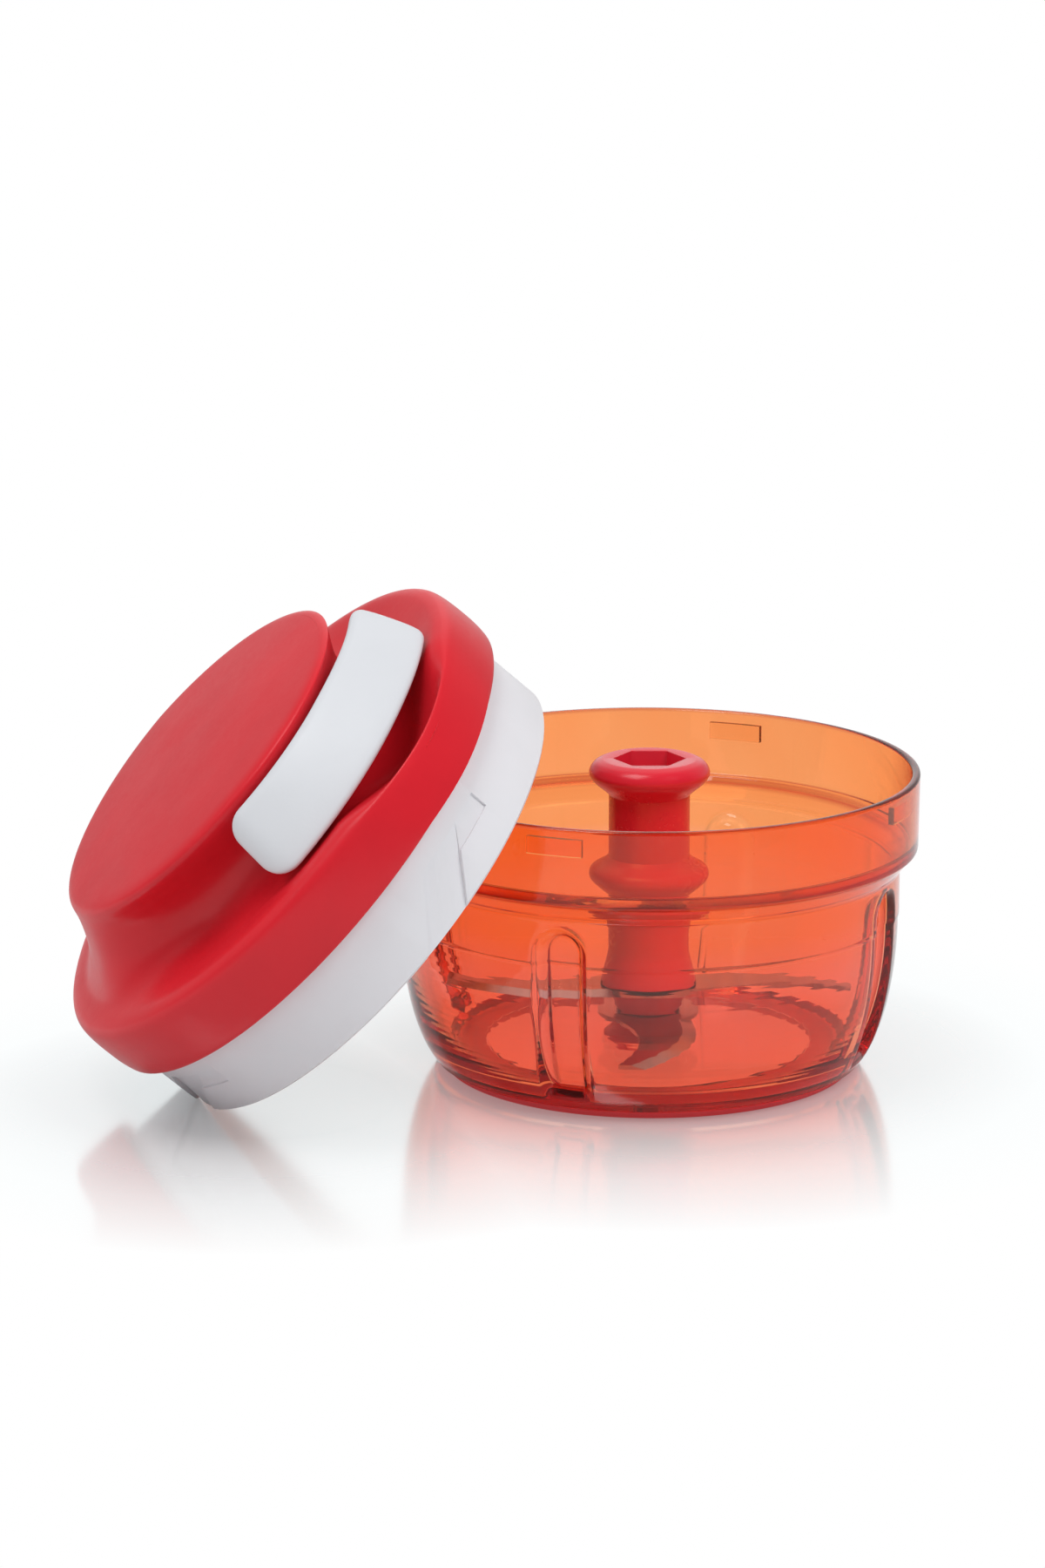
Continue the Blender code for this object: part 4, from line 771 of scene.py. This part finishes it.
def make_blade(name):
    level, tip_radius, turn = BLADE_LEVELS[name]
    lower, upper = [], []
    for side in (0.0, 180.0):
        edge, back = wing_outline(tip_radius, turn + side)
        outline = edge + list(reversed(back))
        for i, point in enumerate(outline):
            lower.append(point + Vector((0, 0, level)))
            inward = Vector((0, 0, 0))
            if i < len(edge):
                inward = (back[i] - edge[i]).normalized() * BLADE_GRIND
            upper.append(point + inward + Vector((0, 0, level + BLADE_THICKNESS)))
    blade = mesh_object(f"{name}_skin", loft([lower, upper], caps=True), BLADE_STEEL)
    ring = mesh_object("ring", turned(rod(BLADE_ROOT_RADIUS, level, level + BLADE_THICKNESS), 72),
                       BLADE_STEEL)
    hole = mesh_object("hole", turned(rod(NECK_RADIUS + GAP, level - 1, level + 2.0), 72), BLADE_STEEL)
    finish_mesh(blade, [(ring, "UNION"), (hole, "DIFFERENCE")], 12.0)
    settle(blade, "blades", "steel", name)


# ---------------------------------------------------------------- cover

def cover_matrix():
    """The cover's own frame, leaning on the bowl with the lowest point of its rim on the table."""
    tilt, turn, pull = (math.radians(v) for v in (COVER_TILT, COVER_TURN, HANDLE_TURN))
    out = Vector((-math.sin(tilt) * math.cos(turn), -math.sin(tilt) * math.sin(turn), math.cos(tilt)))
    uphill = (Vector((0, 0, 1)) - out * out.z).normalized()
    level = uphill.cross(out)
    x = level * math.cos(pull) + uphill * math.sin(pull)
    matrix = Matrix((x, out.cross(x), out)).transposed().to_4x4()
    rest = RING_RADIUS * math.sin(tilt) - RIM_CHAMFER * math.cos(tilt)
    matrix.translation = Vector((COVER_X, COVER_Y, rest)) * MM
    return matrix


COVER = cover_matrix()


def uphill_share(angle):
    """1 on the cover's highest side as it leans, 0 on its lower half."""
    return max(0.0, math.cos(math.radians(angle - 90.0 + HANDLE_TURN)))


def from_seam(points):
    """Turn distances in from the cover's edge and up from its seam into radii and heights."""
    return [(COVER_RADIUS - inward, SEAM_HEIGHT + up) for inward, up in points]


def outline_at(angle):
    """Radius and height of the cover's outside from seam to crown."""
    away = abs((angle - WAIST_MIDDLE + 180.0) % 360.0 - 180.0)
    grooved = 1.0 - smoothstep(WAIST_FULL, WAIST_END, away)
    waist = [(a[0] + (b[0] - a[0]) * grooved, a[1] + (b[1] - a[1]) * grooved)
             for a, b in zip(FLARED_SIDE, GROOVED_SIDE)]
    from_scoop = abs((angle - SCOOP_MIDDLE + 180.0) % 360.0 - 180.0)
    scoop = SCOOP_DEPTH * (1.0 - smoothstep(0.0, SCOOP_HALF_ANGLE, from_scoop)) ** 0.8
    uphill = uphill_share(angle)
    shaped = []
    for inward, up in SHOULDER + waist + CROWN:
        reach = 0.0
        if up < SCOOP_TOP:
            reach = smoothstep(*SCOOP_OUTER_FADE, inward) * smoothstep(*SCOOP_INNER_FADE, inward)
        on_crown = smoothstep(CROWN_EDGE, CROWN_EDGE + 1.5, up)
        droop = uphill * on_crown * smoothstep(*CROWN_DROOP_FADE, inward)
        shaped.append((inward, up - scoop * reach - CROWN_DROOP * droop))
    return eased(from_seam(shaped), 4)


def inset(points, distance):
    """The outline moved inwards, for the inside of a wall."""
    out = []
    for i, (radius, height) in enumerate(points):
        before, after = points[max(0, i - 1)], points[min(len(points) - 1, i + 1)]
        along = Vector((after[0] - before[0], after[1] - before[1])).normalized()
        out.append((radius - along.y * distance, height + along.x * distance))
    return out


def make_cover():
    angles = [-90.0 - HANDLE_TURN + 360.0 * i / COVER_SEGMENTS for i in range(COVER_SEGMENTS)]
    outlines = [outline_at(a) for a in angles]
    insides = [inset(points[::4], COVER_WALL) for points in outlines]
    outer = [[polar(row[0], a, row[1]) for a, row in zip(angles, level)] for level in zip(*outlines)]
    inner = [[polar(row[0], a, row[1]) for a, row in zip(angles, level)] for level in zip(*insides)][3:]
    lap = [[polar(SEAM_INNER, a, h) for a in angles] for h in (RING_TOP + 1.2, SEAM_HEIGHT)]
    lip = [[polar(COVER_RADIUS - 0.3, a, SEAM_HEIGHT) for a in angles]]
    outer[0] = [polar(COVER_RADIUS, a, SEAM_HEIGHT + 0.3) for a in angles]
    bm = loft(inner[::-1] + lap + lip + outer, Vector((0, 0, CROWN_TOP - COVER_WALL)),
              Vector((0, 0, CROWN_TOP)))
    cover = mesh_object("cover_skin", bm, COVER_RED)
    seat = WAIST_RADIUS - 0.1
    bore = EYELET_RADIUS - EYELET_RIM + GAP
    inside, outside = WAIST_RADIUS - EYELET_CUT[0], WAIST_RADIUS + EYELET_CUT[1]
    stepped = [(0, inside), (bore, inside), (bore, seat), (EYELET_RADIUS + GAP, seat),
               (EYELET_RADIUS + GAP, outside), (0, outside)]
    hole = mesh_object("hole", moved(turned(stepped, 48), sideways(CORD_HEIGHT)), COVER_RED)
    finish_mesh(cover, [(hole, "DIFFERENCE")], 35.0)
    cover.data.transform(COVER)
    settle(cover, "cover", "cover_red", "cover_shell")


def make_ring():
    inner = RING_RADIUS - RING_WALL
    profile = [(RING_RADIUS - RIM_CHAMFER, 0.0), (RING_RADIUS, RIM_CHAMFER),
               (RING_RADIUS, RING_TOP), (inner + 0.4, RING_TOP), (inner, DECK_TOP), (DECK_HOLE, DECK_TOP),
               (DECK_HOLE, DECK_BOTTOM + 0.4), (DECK_HOLE + 0.4, DECK_BOTTOM)]
    turn = [math.radians(a) for a in (0, 30, 60, 90)]
    profile += [(inner - DECK_FILLET + DECK_FILLET * math.sin(a),
                 DECK_BOTTOM - DECK_FILLET + DECK_FILLET * math.cos(a)) for a in turn]
    profile += [(inner, 0.3), (inner + 0.3, 0.0)]
    ring = mesh_object("ring_skin", turned(profile, 216, -90.0 - HANDLE_TURN), WHITE)
    rise = LUG_MIDDLE - LEDGE_HEIGHT - GAP
    half = math.degrees(LUG_WIDTH / 2 / RING_RADIUS) + 0.6
    low, high = rise - LUG_HEIGHT / 2 - GAP, rise + LUG_HEIGHT / 2 + GAP
    floor = RING_RADIUS - GROOVE_DEPTH
    below = 1.0
    tools = []
    for i in range(FLUTE_COUNT):
        middle = GROOVE_ANGLE + 360.0 / FLUTE_COUNT * i
        start = middle - GROOVE_LEAN * below
        entry = arc_block(floor, RING_RADIUS + 1.0, start - half, start + half, -below, high,
                          lean=GROOVE_LEAN * (high + below))
        to = middle + GROOVE_LEAN * low
        run = arc_block(floor, RING_RADIUS + 1.0, to, to + half + GROOVE_RUN, low, high)
        tools += [(mesh_object("entry", entry, WHITE), "DIFFERENCE"),
                  (mesh_object("run", run, WHITE), "DIFFERENCE")]
    for angle in SCREW_ANGLES:
        hole = moved(turned(rod(SCREW_RADIUS + GAP, DECK_BOTTOM - 1.0, DECK_TOP + 1.0), 24),
                     Matrix.Translation(polar(SCREW_CIRCLE, angle, 0.0)))
        tools.append((mesh_object("screw_hole", hole, WHITE), "DIFFERENCE"))
    finish_mesh(ring, tools, 35.0, 0.3)
    ring.data.transform(COVER)
    settle(ring, "cover", "white_plastic", "inner_ring")


def pocket_start():
    """Radius of the handle's inner face at the height of the cord."""
    section = from_seam(HANDLE_SECTION)
    for (r0, h0), (r1, h1) in zip(section, section[1:]):
        if h0 <= CORD_HEIGHT <= h1:
            return r0 + (r1 - r0) * (CORD_HEIGHT - h0) / (h1 - h0)
    return section[-1][0]


def make_grip():
    coarse = from_seam(HANDLE_SECTION)
    middle_r = sum(r for r, h in coarse) / len(coarse)
    middle_h = sum(h for r, h in coarse) / len(coarse)
    low, high = min(h for r, h in coarse), max(h for r, h in coarse)
    section = eased(coarse, 4, closed=True)
    ends = []
    for k in range(HANDLE_END_STEPS + 1):
        reach = math.sin(math.radians(90.0 / HANDLE_END_STEPS * (HANDLE_END_STEPS - k)))
        back = math.degrees(HANDLE_END_ROUND * (1.0 - reach) / middle_r)
        lost = (1.0 - math.sqrt(max(0.0, 1.0 - (reach * 0.98) ** 2))) * HANDLE_END_ROUND / HANDLE_HALF_WIDTH
        ends.append((back, 1.0 - lost))
    inner = HANDLE_HALF_ANGLE - math.degrees(HANDLE_END_ROUND / middle_r)
    steps = [(back - HANDLE_HALF_ANGLE, share) for back, share in ends]
    steps += [(-inner + 2 * inner * i / HANDLE_STEPS, 1.0) for i in range(1, HANDLE_STEPS)]
    steps += [(HANDLE_HALF_ANGLE - back, share) for back, share in reversed(ends)]
    rings = []
    for angle, share in steps:
        droop = HANDLE_DROOP * uphill_share(angle)
        towards_end = smoothstep(UPPER_END[0], UPPER_END[1], angle)
        ring = []
        for r, h in section:
            top = (h - low) / (high - low)
            out = towards_end * (UPPER_END_OUT[0] + (UPPER_END_OUT[1] - UPPER_END_OUT[0]) * top)
            slant = towards_end * UPPER_END_SLANT * top
            ring.append(polar(middle_r + (r - middle_r) * share + out, angle + slant,
                              middle_h + (h - droop * top - middle_h) * share))
        rings.append(ring)
    grip = mesh_object("grip_skin", loft(rings, caps=True), GRIP_WHITE)
    pocket = turned(rod(POCKET_RADIUS, WAIST_RADIUS - EYELET_CUT[0], pocket_start() + POCKET_DEPTH), 48)
    tool = mesh_object("pocket", moved(pocket, sideways(CORD_HEIGHT)), GRIP_WHITE)
    finish_mesh(grip, [(tool, "DIFFERENCE")], 40.0)
    grip.data.transform(COVER)
    settle(grip, "handle", "white_plastic", "handle_grip")


# ---------------------------------------------------------------- cord

def tube_rings(points, radius, sides=16):
    """Rings along a path, turned as little as possible from one to the next."""
    rings = []
    normal = None
    for i, point in enumerate(points):
        along = (points[min(i + 1, len(points) - 1)] - points[max(i - 1, 0)]).normalized()
        if normal is None:
            normal = along.orthogonal().normalized()
        normal = (normal - along * normal.dot(along)).normalized()
        other = along.cross(normal)
        rings.append([point + (normal * math.cos(a) + other * math.sin(a)) * radius
                      for a in (2 * math.pi * k / sides for k in range(sides))])
    return rings


def cord_end():
    """Where the cord ends against the knot."""
    return Vector((pocket_start() + PULL_PLUG_RECESS + PULL_PLUG_LENGTH + GAP, 0, CORD_HEIGHT))


def make_winding():
    turns = []
    for i in range(CORD_TURNS * TURN_STEPS + 1):
        turns.append(polar(WIND_RADIUS, CORD_LEAVES - 360.0 * i / TURN_STEPS,
                           CORD_HEIGHT - CORD_PITCH * i / TURN_STEPS))
    tube = loft(tube_rings(turns, CORD_DIAMETER / 2), caps=True)
    winding = finish_mesh(mesh_object("winding_skin", tube, CORD))
    winding.data.transform(COVER)
    settle(winding, "spool", "cord", "cord_winding")


def make_cord():
    """The cord from the spool to the handle, which the handle draws out from the eyelet on."""
    start = polar(WIND_RADIUS, CORD_LEAVES, CORD_HEIGHT)
    eyelet = Vector((EYELET_MIDDLE, 0, CORD_HEIGHT))
    heading = (eyelet - start).normalized()
    first = start + heading * GAP
    last = cord_end()
    before = eyelet - heading * BEND_BEFORE
    after = eyelet + Vector((BEND_AFTER, 0, 0))
    run = [first.lerp(before, i / 20) for i in range(20)]
    for t in (i / 12 for i in range(12)):
        run.append(before * (1 - t) ** 2 + eyelet * 2 * t * (1 - t) + after * t**2)
    run += [after.lerp(last, i / 40) for i in range(41)]
    tube = loft(tube_rings(run, CORD_DIAMETER / 2), caps=True)
    cord = finish_mesh(mesh_object("cord_skin", tube, CORD))
    cord.data.transform(COVER)
    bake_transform(cord)
    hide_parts("cord_run")


def make_knot():
    """A strand that crosses itself three times round a plain core."""
    path = []
    for i in range(KNOT_STEPS):
        a = 2 * math.pi * i / KNOT_STEPS
        wide = KNOT_RADIUS - KNOT_STRAND - KNOT_SWING + KNOT_SWING * math.cos(3 * a)
        path.append(Vector((wide * math.cos(2 * a), wide * math.sin(2 * a),
                            (KNOT_LENGTH / 2 - KNOT_STRAND) * math.sin(3 * a) * 0.98)))
    tip, belly = KNOT_LENGTH / 2 - 0.1, KNOT_LENGTH / 2 - 0.3
    core = [(0, -tip), *zip(KNOT_CORE, (-belly, 0, belly)), (0, tip)]
    at = sideways(CORD_HEIGHT)
    at.translation.x = cord_end().x + GAP + KNOT_LENGTH / 2
    whole = moved(loft(tube_rings(path, KNOT_STRAND, 12), loop=True), at)
    middle = bpy.data.meshes.new("core")
    moved(turned(core, 24), at).to_mesh(middle)
    whole.from_mesh(middle)
    bpy.data.meshes.remove(middle)
    knot = finish_mesh(mesh_object("knot_skin", whole, CORD), sharp=60.0)
    knot.data.transform(COVER)
    settle(knot, "handle", "cord", "cord_knot")


# ---------------------------------------------------------------- carried-over pieces

def dress(finish, *names):
    """Give solids that are shown as they are their material."""
    for name in names:
        obj = NODES[name]
        obj.data.materials.clear()
        obj.data.materials.append(finish)
        obj.data.shade_smooth()
        obj.data.set_sharp_from_angle(angle=math.radians(35))


def dress_solids():
    dress(STEEL, "centre_pin", "spindle", "spindle_screw", "spindle_washer", "spool_washer", "spring_arbor",
          "spiral_spring", "cord_eyelet", *[f"cover_screw_{i}" for i in range(1, 5)])
    dress(NYLON, "blade_bush", "spool", "barrel_lid")
    dress(SHAFT_RED, "drive_plug")
    dress(GRIP_WHITE, "handle_plug")


# ---------------------------------------------------------------- studio

def make_floor():
    """A pale floor that keeps soft shadows, mirrors faintly near the object and shows white further off."""
    s = Shader("floor_white")
    s.tree.nodes.remove(s.main)
    place = s.node("ShaderNodeNewGeometry").outputs["Position"]
    path = s.node("ShaderNodeLightPath").outputs
    through = path["Is Transmission Ray"]
    from_contacts = []
    for middle, radius in CONTACTS:
        apart = s.node("ShaderNodeVectorMath", operation="DISTANCE")
        s.link(place, apart.inputs[0])
        apart.inputs[1].default_value = middle
        from_contacts.append(s.maths("SUBTRACT", apart.outputs["Value"], radius))
    away = s.maths("MINIMUM", *from_contacts)
    axes = s.axes(place)
    in_front = s.remap(axes["Y"], -0.10, 0.10, 0.12, 1.0)
    beside = s.remap(s.maths("ABSOLUTE", axes["X"]), 0.08, 0.20, 1.0, 0.3)
    mirrored = s.maths("MULTIPLY", path["Is Glossy Ray"], s.maths("MULTIPLY", in_front, beside))
    seen = s.maths("MAXIMUM", path["Is Camera Ray"], mirrored)
    far_white = s.maths("MULTIPLY", s.remap(away, 0.0, WHITE_REACH, WHITE_SHARE, 1.0), seen)
    white_share = s.maths("MAXIMUM", far_white, s.maths("MULTIPLY", through, WHITE_THROUGH))
    mirror_share = s.maths("MULTIPLY", s.remap(away, 0.0, MIRROR_REACH, MIRROR_SHARE, 0.0),
                           s.maths("SUBTRACT", 1.0, through))
    matt = s.node("ShaderNodeBsdfDiffuse", Color=FLOOR_COLOUR)
    white = s.node("ShaderNodeEmission", Color=(1.0, 1.0, 1.0, 1.0), Strength=1.0)
    gloss = s.node("ShaderNodeBsdfGlossy", Color=MIRROR_COLOUR, Roughness=0.12)
    lit = s.mix_shaders(white_share, matt.outputs[0], white.outputs[0])
    s.link(s.mix_shaders(mirror_share, lit, gloss.outputs[0]), s.output.inputs["Surface"])
    rings = [[polar(r, 360.0 * i / FLOOR_SIDES, 0.0) for i in range(FLOOR_SIDES)] for r in FLOOR_RINGS]
    mesh_object("studio_floor", loft(rings, Vector((0, 0, 0))), s.material)


def make_world():
    """A soft fill that shows white to the camera, through glass and in what mirrors the back."""
    world = bpy.data.worlds.new("studio")
    bpy.context.scene.world = world
    world.use_nodes = True
    s = Nodes(world.node_tree)
    s.tree.nodes.clear()
    path = s.node("ShaderNodeLightPath").outputs
    camera, through = path["Is Camera Ray"], path["Is Transmission Ray"]
    seen = s.maths("MAXIMUM", camera, s.maths("MAXIMUM", path["Is Glossy Ray"], through))
    axes = s.axes(s.node("ShaderNodeTexCoord").outputs["Generated"])
    behind = s.remap(axes["Y"], -0.2, 0.5, 0.12, 1.0)
    beside = s.remap(s.maths("ABSOLUTE", axes["X"]), 0.15, 0.45, 1.0, 0.45)
    mirrored = s.maths("MULTIPLY", behind, beside)
    fill = s.node("ShaderNodeBackground", Color=FILL_COLOUR, Strength=FILL_STRENGTH)
    shown = s.node("ShaderNodeBackground", Color=(1.0, 1.0, 1.0, 1.0))
    s.link(s.maths("MAXIMUM", mirrored, s.maths("MAXIMUM", camera, through)), shown.inputs["Strength"])
    out = s.node("ShaderNodeOutputWorld")
    s.link(s.mix_shaders(seen, fill.outputs[0], shown.outputs[0]), out.inputs["Surface"])


def make_lamp(name, at, aim, size, watts, mirrored):
    data = bpy.data.lights.new(name, "AREA")
    data.shape = "RECTANGLE"
    data.size, data.size_y = size
    data.energy = watts
    lamp = bpy.data.objects.new(name, data)
    bpy.context.scene.collection.objects.link(lamp)
    lamp.visible_glossy = mirrored
    lamp.location = at
    lamp.rotation_euler = (Vector(aim) - Vector(at)).to_track_quat("-Z", "Y").to_euler()


def make_camera():
    elevation = math.radians(CAMERA_ELEVATION)
    away = Vector((0, math.cos(elevation), -math.sin(elevation)))
    data = bpy.data.cameras.new("camera")
    data.sensor_width = SENSOR
    data.lens = CAMERA_FOCAL * SENSOR / PHOTO_HEIGHT
    data.clip_start, data.clip_end = 0.05, 30.0
    camera = bpy.data.objects.new("camera", data)
    bpy.context.scene.collection.objects.link(camera)
    camera.location = Vector(CAMERA_TARGET) - CAMERA_DISTANCE * away
    camera.rotation_euler = (math.pi / 2 - elevation, 0, 0)
    bpy.context.scene.camera = camera


def main():
    make_bowl()
    make_foot()
    make_shaft()
    for name in BLADE_LEVELS:
        make_blade(name)
    make_cover()
    make_ring()
    make_grip()
    make_winding()
    make_cord()
    make_knot()
    dress_solids()
    make_floor()
    make_world()
    for lamp in LAMPS:
        make_lamp(*lamp)
    make_camera()
    scene = bpy.context.scene
    scene.view_settings.view_transform = "Standard"
    scene.cycles.max_bounces = 32
    scene.cycles.transmission_bounces = 32
    scene.cycles.glossy_bounces = 12


main()
